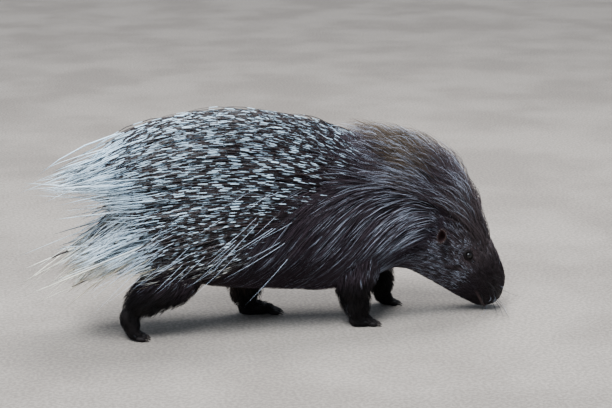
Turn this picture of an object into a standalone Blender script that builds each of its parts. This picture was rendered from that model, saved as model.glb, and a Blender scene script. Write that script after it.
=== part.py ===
# A walking crested porcupine, life size, head lowered to sniff the ground.
# Metres, +Z up. The animal walks towards +X, its left side is +Y, and its soles stand on Z = 0.
import math

import bmesh
import bpy
import numpy as np
from mathutils import Matrix, Vector
from mathutils.bvhtree import BVHTree

# Body parts keep this gap where they meet, and quills and locks keep it from other parts.
GAP = 0.0003

# The trunk's stations from the rump to the nose, in the plane of symmetry. Each section stands square
# to the line through the stations. Columns: x, z, rise above the line, drop below it, half width of the
# skin, then the depth of the coat over the back, on the sides and under the belly.
TRUNK = (
    (-0.286, 0.202, 0.010, 0.010, 0.010, 0.030, 0.030, 0.010),
    (-0.278, 0.205, 0.040, 0.036, 0.036, 0.060, 0.040, 0.012),
    (-0.256, 0.213, 0.080, 0.070, 0.068, 0.070, 0.040, 0.014),
    (-0.212, 0.226, 0.115, 0.107, 0.097, 0.060, 0.036, 0.016),
    (-0.140, 0.234, 0.138, 0.136, 0.112, 0.050, 0.032, 0.016),
    (-0.050, 0.236, 0.138, 0.148, 0.116, 0.050, 0.030, 0.016),
    (0.040, 0.230, 0.132, 0.150, 0.112, 0.046, 0.026, 0.016),
    (0.120, 0.218, 0.122, 0.146, 0.102, 0.036, 0.020, 0.014),
    (0.190, 0.205, 0.110, 0.122, 0.088, 0.030, 0.016, 0.012),
    (0.250, 0.186, 0.096, 0.092, 0.074, 0.040, 0.016, 0.010),
    (0.300, 0.158, 0.084, 0.074, 0.064, 0.044, 0.016, 0.008),
    (0.340, 0.126, 0.076, 0.067, 0.057, 0.028, 0.009, 0.006),
    (0.372, 0.094, 0.071, 0.058, 0.049, 0.012, 0.004, 0.004),
    (0.396, 0.067, 0.062, 0.049, 0.040, 0.006, 0.003, 0.003),
    (0.414, 0.047, 0.053, 0.041, 0.035, 0.004, 0.002, 0.002),
    (0.429, 0.0295, 0.041, 0.032, 0.030, 0.002, 0.001, 0.001),
    (0.4405, 0.0175, 0.022, 0.014, 0.016, 0.001, 0.001, 0.001),
)
STEPS = 3  # rings between two stations
TRUNK_SIDES = 20
LAST = len(TRUNK) - 1
# Stations where the trunk is parted into torso, neck and head.
TORSO_END = 8 + 1 / 3
NECK_END = 9 + 2 / 3
# The solid core under quills and locks takes this share of the coat's depth.
CORE = 0.4

# Each leg runs from inside the body to the ankle and a stub in the foot. Columns: x, y, z, half
# thickness in side view, half width. The table is for a left leg; y turns round on the right.
HIND_LEFT = (
    (-0.160, 0.060, 0.200, 0.060, 0.030),
    (-0.110, 0.062, 0.155, 0.054, 0.032),
    (-0.066, 0.060, 0.112, 0.044, 0.030),
    (-0.051, 0.056, 0.072, 0.035, 0.025),
    (-0.046, 0.055, 0.036, 0.025, 0.0195),
    (-0.042, 0.055, 0.014, 0.013, 0.0120),
)
HIND_RIGHT = (
    (-0.195, 0.060, 0.200, 0.062, 0.030),
    (-0.190, 0.062, 0.152, 0.056, 0.032),
    (-0.208, 0.060, 0.112, 0.046, 0.030),
    (-0.241, 0.057, 0.086, 0.036, 0.025),
    (-0.269, 0.055, 0.066, 0.027, 0.0200),
    (-0.285, 0.055, 0.048, 0.013, 0.0120),
)
FORE_LEFT = (
    (0.180, 0.050, 0.180, 0.044, 0.028),
    (0.188, 0.056, 0.135, 0.042, 0.029),
    (0.206, 0.060, 0.090, 0.034, 0.025),
    (0.220, 0.060, 0.056, 0.026, 0.020),
    (0.2250, 0.060, 0.036, 0.020, 0.0170),
    (0.2270, 0.060, 0.022, 0.010, 0.0110),
)
FORE_RIGHT = (
    (0.170, 0.050, 0.180, 0.046, 0.028),
    (0.150, 0.056, 0.135, 0.044, 0.030),
    (0.142, 0.060, 0.090, 0.036, 0.026),
    (0.143, 0.060, 0.058, 0.027, 0.021),
    (0.147, 0.060, 0.033, 0.0205, 0.0175),
    (0.150, 0.060, 0.014, 0.011, 0.0120),
)
# The same columns for each foot, from its heel to the root of its toes.
HIND_LEFT_SOLE = (
    (-0.062, 0.055, 0.0100, 0.0080, 0.0090),
    (-0.054, 0.055, 0.0115, 0.0130, 0.0130),
    (-0.034, 0.055, 0.0125, 0.0140, 0.0155),
    (-0.012, 0.055, 0.0105, 0.0120, 0.0185),
    (0.001, 0.055, 0.0080, 0.0090, 0.0190),
    (0.007, 0.055, 0.0070, 0.0050, 0.0160),
)
HIND_RIGHT_SOLE = (
    (-0.2935, 0.055, 0.0600, 0.0090, 0.0100),
    (-0.2890, 0.055, 0.0500, 0.0165, 0.0150),
    (-0.2840, 0.055, 0.0320, 0.0165, 0.0165),
    (-0.2800, 0.055, 0.0150, 0.0120, 0.0175),
    (-0.2710, 0.055, 0.0078, 0.0095, 0.0185),
    (-0.2650, 0.055, 0.0070, 0.0055, 0.0160),
)
FORE_LEFT_SOLE = (
    (0.2150, 0.060, 0.0270, 0.0080, 0.0100),
    (0.2220, 0.060, 0.0220, 0.0125, 0.0135),
    (0.2340, 0.060, 0.0140, 0.0130, 0.0155),
    (0.2430, 0.060, 0.0080, 0.0098, 0.0160),
    (0.2490, 0.060, 0.0070, 0.0055, 0.0135),
)
FORE_RIGHT_SOLE = (
    (0.1330, 0.060, 0.0110, 0.0080, 0.0100),
    (0.1410, 0.060, 0.0115, 0.0130, 0.0135),
    (0.1560, 0.060, 0.0115, 0.0130, 0.0155),
    (0.1690, 0.060, 0.0082, 0.0098, 0.0165),
    (0.1760, 0.060, 0.0070, 0.0055, 0.0140),
)
HIND_TOES = {"count": 5, "spread": 0.0160, "splay": 0.0045, "radius": 0.0048, "arch": 0.005, "claw": 0.0090}
FORE_TOES = {"count": 4, "spread": 0.0125, "splay": 0.0035, "radius": 0.0050, "arch": 0.004, "claw": 0.0115}
# Each leg: name, side, leg, sole, toes and the x of the toes' roots and tips.
LEGS = (
    ("hind_left", 1, HIND_LEFT, HIND_LEFT_SOLE, HIND_TOES, (0.001, 0.018)),
    ("hind_right", -1, HIND_RIGHT, HIND_RIGHT_SOLE, HIND_TOES, (-0.271, -0.256)),
    ("fore_left", 1, FORE_LEFT, FORE_LEFT_SOLE, FORE_TOES, (0.244, 0.2575)),
    ("fore_right", -1, FORE_RIGHT, FORE_RIGHT_SOLE, FORE_TOES, (0.171, 0.1850)),
)
LEG_SIDES = 10
SOLE_SIDES = 8

TAIL = (
    (-0.255, 0.0, 0.194, 0.022, 0.022),
    (-0.292, 0.0, 0.172, 0.019, 0.019),
    (-0.326, 0.0, 0.147, 0.013, 0.014),
    (-0.352, 0.0, 0.126, 0.006, 0.006),
)
# Its quills: how far along the tail each row stands, how many there are round it and through which
# angle from its top, how long and thick they are and how far they spread.
TAIL_QUILLS = {
    "rows": (0.35, 0.62, 0.88), "count": 5, "angle": 1.9,
    "length": 0.066, "radius": 0.0024, "spread": 0.30,
}

# The eye and its lids: where they sit on the head, the eyeball's radius, how far its middle lies under
# the skin, and the lids' half sizes along the head, across it and outwards.
EYE = {"station": 11.45, "turn": math.radians(76), "radius": 0.0062, "depth": 0.0026}
LIDS = (0.0098, 0.0080, 0.0022)
# The ear is a cup: how it leans out of the head, which way its low edge faces, how much lower that edge
# is, how flat the cup is, and its heights and radii up the outside and down the inside.
EAR = {
    "station": 10.12,
    "turn": math.radians(81),
    "lean": (-0.75, 0, 0.45),
    "front": (1, 0.45, -0.15),
    "slant": 0.40,
    "flat": 0.55,
    "sides": 10,
    "profile": (
        (-0.018, 0.0065), (0.000, 0.0085), (0.010, 0.0115), (0.019, 0.0130), (0.027, 0.0100),
        (0.028, 0.0084), (0.019, 0.0104), (0.011, 0.0082), (0.005, 0.0040),
    ),
}
# The mouth runs from its corners to the front under the nose: stations and turns from the back.
MOUTH = {"stations": (13.3, 14.2, 15.1, 15.8), "turns": (112, 122, 140, 172), "lip": 0.0030, "slit": 0.0009}
NOSE = {"place": (0.4450, 0.0, 0.0225), "radii": (0.0070, 0.0100, 0.0075)}
NOSTRIL = {"ahead": 0.0055, "out": 0.0050, "radii": (0.0050, 0.0014, 0.0026)}

# Quills by how far back they grow: x of the root, length, fall of the tips along the back line.
QUILL_X = (-0.286, -0.235, -0.170, -0.080, 0.020, 0.140)
QUILL_LENGTH = (0.145, 0.215, 0.265, 0.255, 0.200, 0.110)
QUILL_REACH = -0.455  # few quills reach further back than this
# Places along a quill, how deep its root is sunk, rows and spaces between quills. A quill that would
# touch another part is tried again steeper, and then shorter.
QUILL = {
    "bend": (0.0, 0.55, 1.0), "radius": 0.0029, "lift": 0.11, "sunk": 0.007,
    "row": 0.040, "apart": 0.0310, "tries": 9, "steeper": 0.05, "shorter": 0.25,
}
# A three-sided ring inside a circle is this many radii wide and high.
RING_WIDE, RING_HIGH = 1.73, 1.5
# Quills low on the flank are shorter: share by the cosine of the turn, all of it in front of an x.
LOW_UP = (-0.6, 0.3)
LOW_SHARE = (0.5, 1.0)
LOW_X = (-0.26, -0.14)
# Between these distances behind the origin quills stop following the body and hang free.
LOOSE = (-0.10, 0.16)
# How steeply quills fall towards their tips: on the belly side, on the flank and on the back.
FALL_UP = (-0.6, 0.1, 0.5, 1.0)
FALL = (0.42, 0.10, 0.22, 0.46)
# Where banded quills give way to bristles: station by the turn from the back, in degrees.
QUILL_FRONT_TURN = (0, 60, 90, 115, 130)
QUILL_FRONT = (7.3, 6.4, 6.1, 5.6, 5.0)


def clear_scene():
    for obj in list(bpy.data.objects):
        bpy.data.objects.remove(obj)


def material(name, colour, roughness):
    made = bpy.data.materials.new(name)
    made.use_nodes = True
    shader = made.node_tree.nodes["Principled BSDF"]
    shader.inputs["Base Color"].default_value = (*colour, 1)
    shader.inputs["Roughness"].default_value = roughness
    return made


def unit(vectors):
    vectors = np.asarray(vectors, float)
    return vectors / np.linalg.norm(vectors, axis=-1, keepdims=True)


def fade(value, low, high):
    # Rises smoothly from 0 at low to 1 at high.
    share = np.clip((value - low) / (high - low), 0, 1)
    return share * share * (3 - 2 * share)


def smooth_rows(rows, steps):
    # A Catmull-Rom curve through the rows, with a number of steps between each two.
    rows = np.array(rows, float)
    rows = np.vstack([2 * rows[0] - rows[1], rows, 2 * rows[-1] - rows[-2]])
    found = []
    for a, b, c, d in zip(rows, rows[1:], rows[2:], rows[3:]):
        for k in range(steps):
            t = k / steps
            found.append(
                b + 0.5 * t * (c - a + t * (2 * a - 5 * b + 4 * c - d + t * (3 * (b - c) + d - a)))
            )
    found.append(rows[-2])
    return np.array(found)


LINE = smooth_rows(TRUNK, STEPS)
LINE_SLOPE = unit(np.gradient(LINE[:, :2], axis=0))


def core_share(station, turn):
    # The share of the coat's depth that is solid: all of it on the face and belly, whose fur is short.
    belly = fade(-np.cos(turn), 0.35, 0.75)
    face = fade(station, 11.0, 11.9)
    return CORE + (1 - CORE) * np.maximum(belly, face)


def trunk_point(station, turn, share=None, more=0.0):
    # A point of the trunk: station counts from the rump and turn is the angle from the back towards +Y.
    # The surface is the core, or the skin raised by a share of the coat's depth and a further distance.
    station = np.asarray(station, float)
    if share is None:
        share = core_share(station, turn)
    whole = np.arange(len(LINE)) / STEPS
    row = np.stack([np.interp(station, whole, column) for column in LINE.T], -1)
    slope = np.stack([np.interp(station, whole, column) for column in LINE_SLOPE.T], -1)
    up, side = np.cos(turn), np.sin(turn)
    over = np.where(up > 0, row[..., 5], row[..., 7])
    raised = (row[..., 6] + (over - row[..., 6]) * up**4) * share + more
    height = up * (np.where(up > 0, row[..., 2], row[..., 3]) + raised)
    return np.stack(
        [
            row[..., 0] - slope[..., 1] * height,
            side * (row[..., 4] + raised),
            row[..., 1] + slope[..., 0] * height,
        ],
        -1,
    )


def trunk_frame(station, turn, share=None):
    # A point of the trunk, the way forwards along it, the way round it and the way out of it.
    step = 0.03
    ahead = trunk_point(station + step, turn, share) - trunk_point(station - step, turn, share)
    around = trunk_point(station, turn + step, share) - trunk_point(station, turn - step, share)
    return trunk_point(station, turn, share), unit(ahead), unit(around), unit(np.cross(ahead, around))


def solid(name, points, faces):
    mesh = bpy.data.meshes.new(name)
    mesh.from_pydata(np.asarray(points).tolist(), [], faces)
    shape = bmesh.new()
    shape.from_mesh(mesh)
    bmesh.ops.recalc_face_normals(shape, faces=shape.faces)
    shape.to_mesh(mesh)
    shape.free()
    return bpy.data.objects.new(name, mesh)


def ring_faces(count, sides):
    # Triangles between rings, so that two solids over the same rings have the same surface.
    faces = []
    for i in range(count - 1):
        for j in range(sides):
            k = (j + 1) % sides
            a, b = i * sides + j, i * sides + k
            c, d = (i + 1) * sides + k, (i + 1) * sides + j
            faces += [(a, b, c), (a, c, d)]
    return faces


def loft(name, rings):
    # A closed skin over rings of the same number of points, with a flat cap at each end.
    count, sides = rings.shape[:2]
    caps = [tuple(range(sides)), tuple(range((count - 1) * sides, count * sides))]
    return solid(name, rings.reshape(-1, 3), ring_faces(count, sides) + caps)


def trunk_rings(first, last, more=0.0):
    stations = np.arange(round(first * STEPS), round(last * STEPS) + 1) / STEPS
    turns = np.arange(TRUNK_SIDES) * 2 * math.pi / TRUNK_SIDES
    return trunk_point(stations[:, None], turns[None, :], more=more)


def trunk_part(name, first, last):
    # One length of the trunk's core. Its front end stands back by the gap from the next length.
    rings = trunk_rings(first, last)
    if last < LAST:
        ahead = unit(rings[-1].mean(0) - rings[-2].mean(0))
        rings[-1] -= GAP * ahead
    return loft(name, rings)


def trunk_space():
    # The whole core grown by the gap, to be cut from what stands on it.
    rings = trunk_rings(0, LAST, GAP)
    rings[0] -= GAP * unit(rings[1].mean(0) - rings[0].mean(0))
    rings[-1] += GAP * unit(rings[-1].mean(0) - rings[-2].mean(0))
    return loft("trunk space", rings)


def modify(obj, kind, **settings):
    modifier = obj.modifiers.new(kind.lower(), kind)
    for key, value in settings.items():
        setattr(modifier, key, value)


def apply_all(obj):
    # The object's evaluated mesh takes the place of its mesh and modifiers.
    bpy.context.view_layer.update()
    graph = bpy.context.evaluated_depsgraph_get()
    mesh = bpy.data.meshes.new_from_object(obj.evaluated_get(graph))
    obj.modifiers.clear()
    obj.data = mesh


def shell_volume(faces):
    return sum(
        face.verts[0].co.dot(b.co.cross(c.co)) / 6
        for face in faces
        for b, c in zip(face.verts[1:], face.verts[2:])
    )


def keep_largest(obj):
    # Of the closed surfaces in a mesh only the one that holds most volume stays.
    shape = bmesh.new()
    shape.from_mesh(obj.data)
    left = set(shape.faces)
    shells = []
    while left:
        reached = [left.pop()]
        for face in reached:
            for edge in face.edges:
                for other in edge.link_faces:
                    if other in left:
                        left.discard(other)
                        reached.append(other)
        shells.append(reached)
    shells.sort(key=shell_volume)
    for shell in shells[:-1]:
        bmesh.ops.delete(shape, geom=shell, context="FACES")
    loose = [vert for vert in shape.verts if not vert.link_faces]
    bmesh.ops.delete(shape, geom=loose, context="VERTS")
    shape.to_mesh(obj.data)
    shape.free()


def combine(obj, others, operation):
    # Joins other closed meshes to this one, or takes them from it, and removes them.
    group = bpy.data.collections.new("pieces")
    bpy.context.scene.collection.children.link(group)
    for other in others:
        group.objects.link(other)
    bpy.context.scene.collection.objects.link(obj)
    modify(
        obj,
        "BOOLEAN",
        operation=operation,
        operand_type="COLLECTION",
        collection=group,
        solver="MANIFOLD",
    )
    apply_all(obj)
    bpy.context.scene.collection.objects.unlink(obj)
    for other in others:
        bpy.data.objects.remove(other)
    bpy.data.collections.remove(group)
    keep_largest(obj)


def cut_flat(obj, point, normal):
    # Takes away what lies beyond a plane and closes the cut.
    shape = bmesh.new()
    shape.from_mesh(obj.data)
    cut = bmesh.ops.bisect_plane(
        shape,
        geom=shape.verts[:] + shape.edges[:] + shape.faces[:],
        dist=1e-6,
        plane_co=point,
        plane_no=normal,
        clear_outer=True,
    )
    rim = [item for item in cut["geom_cut"] if isinstance(item, bmesh.types.BMEdge)]
    bmesh.ops.holes_fill(shape, edges=rim, sides=0)
    bmesh.ops.recalc_face_normals(shape, faces=shape.faces)
    shape.to_mesh(obj.data)
    shape.free()


def tube(name, rows, steps, sides):
    # A limb: rows of x, y, z, half thickness across the path in side view, half width.
    rows = smooth_rows(rows, steps)
    ahead = unit(np.gradient(rows[:, :3], axis=0))
    across = unit(np.array([0.0, 1.0, 0.0]) - ahead[:, 1:2] * ahead)
    over = np.cross(across, ahead)
    turns = (np.arange(sides) + 0.5) * 2 * math.pi / sides
    rings = (
        rows[:, None, :3]
        + over[:, None, :] * rows[:, None, 3:4] * np.cos(turns)[None, :, None]
        + across[:, None, :] * rows[:, None, 4:5] * np.sin(turns)[None, :, None]
    )
    return loft(name, rings)


def mirrored(rows, side):
    rows = np.array(rows, float)
    rows[:, 1] *= side
    return rows


def ball(name, centre, radii, segments, rings, ways=None):
    # An ellipsoid whose half sizes lie along three ways, or along the axes.
    ways = np.eye(3) if ways is None else np.array(ways)
    matrix = Matrix.Identity(4)
    for k in range(3):
        matrix.col[k] = (*(ways[k] * radii[k]), 0)
    matrix.col[3] = (*centre, 1)
    mesh = bpy.data.meshes.new(name)
    shape = bmesh.new()
    bmesh.ops.create_uvsphere(shape, u_segments=segments, v_segments=rings, radius=1, matrix=matrix)
    shape.normal_update()
    bmesh.ops.recalc_face_normals(shape, faces=shape.faces)
    shape.to_mesh(mesh)
    shape.free()
    return bpy.data.objects.new(name, mesh)


def copy_of(obj):
    made = obj.copy()
    made.data = obj.data.copy()
    return made


def leg(name, rows, side):
    # The leg starts at the trunk's surface and ends at the ankle, the last row but one. The stub
    # beyond the ankle is handed back too, for the foot.
    rows = mirrored(rows, side)
    shin = tube(name, rows, 3, LEG_SIDES)
    stub = copy_of(shin)
    ankle = Vector(rows[-2, :3])
    down = Vector(rows[-1, :3] - rows[-3, :3]).normalized()
    cut_flat(shin, ankle - down * GAP / 2, down)
    cut_flat(stub, ankle + down * GAP / 2, -down)
    combine(shin, [trunk_space()], "DIFFERENCE")
    return shin, stub


def toe(root, tip, radius, claw):
    # One toe with its claw, which drops a little towards its tip.
    root = Vector(root)
    tip = Vector(tip)
    ahead = (tip - root).normalized()
    nail_root = tip - ahead * radius
    nail_tip = tip + ahead * claw - Vector((0, 0, radius * 0.55))
    nail_knee = nail_root.lerp(nail_tip, 0.55) + Vector((0, 0, radius * 0.2))
    rows = (
        (*root, radius * 0.8, radius * 0.8),
        (*root.lerp(tip, 0.5), radius, radius),
        (*(tip - ahead * radius * 0.4), radius * 0.92, radius * 0.92),
        (*(tip + ahead * radius * 0.35), radius * 0.45, radius * 0.45),
    )
    nail = (
        (*nail_root, radius * 0.4, radius * 0.38),
        (*nail_knee, radius * 0.38, radius * 0.34),
        (*nail_tip, 0.0005, 0.0005),
    )
    return [tube("toe", rows, 1, 5), tube("claw", nail, 1, 4)]


def foot(name, stub, sole, side, toes, reach):
    # A bent sole with a row of clawed toes, flat where it stands on the ground.
    obj = tube(name, mirrored(sole, side), 2, SOLE_SIDES)
    pieces = [stub]
    for k in range(toes["count"]):
        across = 2 * k / (toes["count"] - 1) - 1
        back = toes["arch"] * across**2
        y = sole[-1][1] + toes["spread"] * across
        root = (reach[0] - back, side * y, toes["radius"] + 0.001)
        tip = (reach[1] - back, side * (y + toes["splay"] * across), toes["radius"] * 0.8)
        pieces += toe(root, tip, toes["radius"], toes["claw"])
    combine(obj, pieces, "UNION")
    cut_flat(obj, (0, 0, 0), (0, 0, -1))
    keep_largest(obj)
    return obj


def eye_place(side, out):
    # Where the eye sits on the head, moved outwards, and the ways along, round and out of the head.
    here, ahead, around, normal = trunk_frame(EYE["station"], side * EYE["turn"])
    return here + normal * out, (ahead, around, normal)


def make_eye(name, side):
    place, _ = eye_place(side, -EYE["depth"])
    return ball(name, place, [EYE["radius"]] * 3, 10, 7)


def make_ear(name, side):
    # A cup whose front edge is lower than its back edge. Rings run up its outside and down its inside.
    here, ahead, _, out = trunk_frame(EAR["station"], side * EAR["turn"])
    rise = unit(out + np.array(EAR["lean"]))
    front = np.array(EAR["front"]) * (1, side, 1)
    front = unit(front - front.dot(rise) * rise)
    breadth = np.cross(rise, front)
    turns = np.arange(EAR["sides"]) * 2 * math.pi / EAR["sides"]
    rings = []
    for height, radius in EAR["profile"]:
        tall = height * (1 - EAR["slant"] * (1 + np.cos(turns)) / 2)
        rings.append(
            here
            + tall[:, None] * rise
            + (radius * EAR["flat"] * np.cos(turns))[:, None] * front
            + (radius * np.sin(turns))[:, None] * breadth
        )
    obj = loft(name, np.array(rings))
    combine(obj, [trunk_space()], "DIFFERENCE")
    return obj


def make_tail(name):
    obj = tube(name, TAIL, 1, 10)
    combine(obj, [trunk_space()], "DIFFERENCE")
    return obj


def mouth_tube(name, radius, out):
    # A thin tube along the line of the mouth, from one corner round the front to the other.
    stations, turns = np.array(MOUTH["stations"]), np.radians(MOUTH["turns"])
    rows = np.concatenate(
        [np.stack([stations, turns], 1), np.stack([stations, 2 * math.pi - turns], 1)[::-1]]
    )
    rows = smooth_rows(rows, 2)
    path = trunk_point(rows[:, 0], rows[:, 1], more=out)
    return loft(name, taper_rings(path, np.full(len(path), radius), 4))


def taper_rings(path, radii, sides):
    # Round rings across a path that nowhere runs straight up.
    ahead = unit(np.gradient(path, axis=0))
    across = unit(np.cross(np.array([0.0, 0.0, 1.0]), ahead))
    over = np.cross(ahead, across)
    turns = np.arange(sides) * 2 * math.pi / sides
    return (
        path[:, None, :]
        + over[:, None, :] * radii[:, None, None] * np.cos(turns)[None, :, None]
        + across[:, None, :] * radii[:, None, None] * np.sin(turns)[None, :, None]
    )


def make_head(name):
    obj = trunk_part(name, NECK_END, LAST)
    added = [
        ball("nose", NOSE["place"], NOSE["radii"], 10, 7),
        mouth_tube("lips", MOUTH["lip"], 0.0),
    ]
    cut = []
    for side in (-1, 1):
        place, ways = eye_place(side, 0.0)
        added.append(ball("lids", place, LIDS, 10, 6, ways))
        place, _ = eye_place(side, -EYE["depth"])
        cut.append(ball("socket", place, [EYE["radius"] + GAP] * 3, 10, 7))
        x, _, z = NOSE["place"]
        y = side * NOSTRIL["out"]
        ways = unit([(1, side * 0.9, -0.6), (-0.6, side * 0.9, 0.5), (0.5, 0, 1)])
        cut.append(ball("nostril", (x + NOSTRIL["ahead"], y, z), NOSTRIL["radii"], 8, 6, ways))
    combine(obj, added, "UNION")
    cut.append(mouth_tube("slit", MOUTH["slit"], MOUTH["lip"] * 0.8))
    for cutter in cut:
        combine(obj, [cutter], "DIFFERENCE")
    return obj


def taper(path, widths, heights, out):
    # A tapering quill or lock along a path: three-sided rings with their ridge outwards, and a point.
    ahead = unit(np.gradient(path, axis=0))
    across = unit(np.cross(np.broadcast_to(out, path.shape), ahead))
    over = np.cross(ahead, across)
    points = []
    for here, side, up, width, height in zip(path[:-1], across, over, widths, heights):
        points += [here - side * width / 2, here + side * width / 2, here + up * height]
    points.append(path[-1])
    faces = ring_faces(len(path) - 1, 3)
    tip = len(points) - 1
    last = tip - 3
    faces += [(0, 1, 2), (last, last + 1, tip), (last + 1, last + 2, tip), (last + 2, last, tip)]
    return np.array(points), faces


def clears(path, widths, heights, out, trees):
    # Whether a piece grown by more than the gap meets no other body part and stays off the ground.
    room = 2.5 * GAP
    points, faces = taper(path - out * room, widths + 2 * room, heights + 2 * room, out)
    if points[:, 2].min() < 3 * room:
        return False
    tree = BVHTree.FromPolygons(points.tolist(), faces)
    return not any(tree.overlap(other) for other in trees)


def bent_path(root, length, start, end):
    # A curve that leaves the root one way and turns evenly to another way at its tip.
    u = np.array(QUILL["bend"])
    return root + length * (np.outer(u - u**2 / 2, start) + np.outer(u**2 / 2, end))


def quill_path(station, turn, size, lift, draw):
    # A stiff quill leaves the core at a low angle and bends down the way that quills hang there.
    root, ahead, _, out = trunk_frame(station, turn)
    up = math.cos(turn)
    reach = (root[0] - QUILL_REACH) * (1.04 + 0.06 * draw[0])
    length = min(np.interp(root[0], QUILL_X, QUILL_LENGTH) * size, reach)
    fall = np.interp(up, FALL_UP, FALL) + 0.05 * draw[1]
    hang = unit([-1, 0.06 * draw[2] - 0.03 * math.sin(turn), -fall])
    loose = fade(-root[0], *LOOSE)
    end = unit(-ahead * (1 - loose) + hang * loose)
    start = unit(end - min(end.dot(out), 0) * out + lift * out)
    path = bent_path(root, length, start, end)
    path[0] -= out * QUILL["sunk"]
    return path, out


def add_tail_quills(obj, trees, rng):
    # Short quills round the top and sides of the tail, which spread a little towards their tips.
    pieces = []
    spine = np.array(TAIL)[:, :3]
    back = unit(spine[-1] - spine[0])
    across = np.array([0.0, 1.0, 0.0])
    over = np.cross(back, across)
    for row, share in enumerate(TAIL_QUILLS["rows"]):
        root = spine[0] + share * (spine[-1] - spine[0])
        for k in range(TAIL_QUILLS["count"]):
            place = 2 * (k + 0.5 * (row % 2)) / (TAIL_QUILLS["count"] - 0.5) - 1
            turn = place * TAIL_QUILLS["angle"]
            out = over * math.cos(turn) + across * math.sin(turn)
            length = TAIL_QUILLS["length"] * (1 + 0.12 * rng.uniform(-1, 1))
            start = unit(back + out * TAIL_QUILLS["spread"])
            end = unit(back + out * TAIL_QUILLS["spread"] * 0.4)
            path = bent_path(root, length, start, end)
            radii = TAIL_QUILLS["radius"] * np.array([0.9, 1.0])
            if clears(path, radii * RING_WIDE, radii * RING_HIGH, out, trees):
                pieces.append(solid("quill", *taper(path, radii * RING_WIDE, radii * RING_HIGH, out)))
    print(obj.name, "quills", len(pieces))
    return pieces


def add_quills(obj, trees, rng):
    # Rows of quills round the back and flanks, each row set off from the last by a third of a space.
    pieces = []
    missed = 0
    x = QUILL_X[0] + 0.004
    row = 0
    stations = np.arange(len(LINE)) / STEPS
    while x < QUILL_X[-1]:
        station = np.interp(x, LINE[:, 0], stations)
        girth = np.linalg.norm(trunk_point(station, 0.02) - trunk_point(station, -0.02)) / 0.04
        girth = max(girth, 0.05)
        step = QUILL["apart"] / girth
        most = math.ceil(math.pi / step)
        for k in range(-most, most + 1):
            turn = (k + (row % 3) / 3 + 0.12 * rng.uniform(-1, 1)) * step
            place = station + 0.12 * rng.uniform(-1, 1)
            draw = rng.uniform(-1, 1, 3)
            size = 1 + 0.08 * rng.uniform(-1, 1)
            limit = np.interp(math.degrees(abs(turn)), QUILL_FRONT_TURN, QUILL_FRONT)
            if abs(turn) > math.radians(QUILL_FRONT_TURN[-1]) or place > limit:
                continue
            short = np.interp(math.cos(turn), LOW_UP, LOW_SHARE)
            size *= np.interp(x, LOW_X, (1.0, short))
            for attempt in range(QUILL["tries"]):
                lift = QUILL["lift"] + QUILL["steeper"] * (attempt % 5)
                shorter = 1 - QUILL["shorter"] * (attempt // 5)
                path, out = quill_path(place, turn, size * shorter, lift, draw)
                radii = QUILL["radius"] * np.array([0.9, 1.0])
                if clears(path, radii * RING_WIDE, radii * RING_HIGH, out, trees):
                    pieces.append(solid("quill", *taper(path, radii * RING_WIDE, radii * RING_HIGH, out)))
                    break
            else:
                missed += 1
        x += QUILL["row"]
        row += 1
    print(obj.name, "quills", len(pieces), "left out", missed)
    return pieces


# Coats of bristles, drawn together as flat locks. Stations and turns bound each coat. A lock is so long
# and wide, its tip stands off the skin over the back and on the side, and it drifts down the flank.
# The height over the back is multiplied by the first of its ends at the rear and the second in front.
COATS = {
    "tail": (),
    "torso": (
        {
            "stations": (4.8, 8.12), "turns": (0, 128), "row": 0.040, "apart": 0.032,
            "length": 0.076, "width": 0.026, "over": 0.040, "side": 0.021, "drift": 0.25, "ends": (1.0, 1.0),
        },
    ),
    "neck": (
        {
            "stations": (8.4, 9.7), "turns": (0, 48), "row": 0.026, "apart": 0.019,
            "length": 0.095, "width": 0.014, "over": 0.088, "side": 0.026, "drift": 0.0, "ends": (0.75, 1.05),
        },
        {
            "stations": (8.4, 9.7), "turns": (48, 135), "row": 0.032, "apart": 0.028,
            "length": 0.062, "width": 0.021, "over": 0.030, "side": 0.020, "drift": 0.1, "ends": (1.0, 1.0),
        },
    ),
    "head": (
        {
            "stations": (9.85, 12.0), "turns": (0, 46), "row": 0.034, "apart": 0.018,
            "length": 0.088, "width": 0.012, "over": 0.094, "side": 0.022, "drift": 0.0, "ends": (1.0, 0.2),
        },
        {
            "stations": (9.9, 11.3), "turns": (92, 138), "row": 0.026, "apart": 0.022,
            "length": 0.038, "width": 0.019, "over": 0.012, "side": 0.012, "drift": 0.1, "ends": (1.0, 1.0),
        },
    ),
}


# Places along a lock, how deep its root is sunk, how flat it is, and what each new try adds or takes.
LOCK = {
    "bend": (0.0, 0.4, 0.75, 1.0), "sunk": 0.005, "flat": 0.16,
    "tries": 9, "taller": 0.006, "shorter": 0.2,
}


def lock_path(coat, station, turn, length, height, draw):
    # A lock follows the body back and its tip stands off by the height, most of it gained near the root.
    _, _, _, out = trunk_frame(station, turn)
    step = 0.05
    along = np.linalg.norm(trunk_point(station, turn) - trunk_point(station - step, turn)) / step
    round_ = np.linalg.norm(trunk_point(station, turn + step) - trunk_point(station, turn)) / step
    side = math.copysign(1, turn)
    drift = coat["drift"] * max(math.sin(abs(turn)), 0) * side + 0.12 * draw
    u = np.array(LOCK["bend"])
    stations = station - u * length / along
    turns = turn + u * drift * length / round_
    root = trunk_point(station, turn) - trunk_point(station, turn, 0.0)
    root = np.linalg.norm(root)
    heights = root + (height - root) * (1 - (1 - u) ** 1.6)
    heights[0] = root - LOCK["sunk"]
    return trunk_point(stations, turns, 0.0, heights), out


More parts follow.
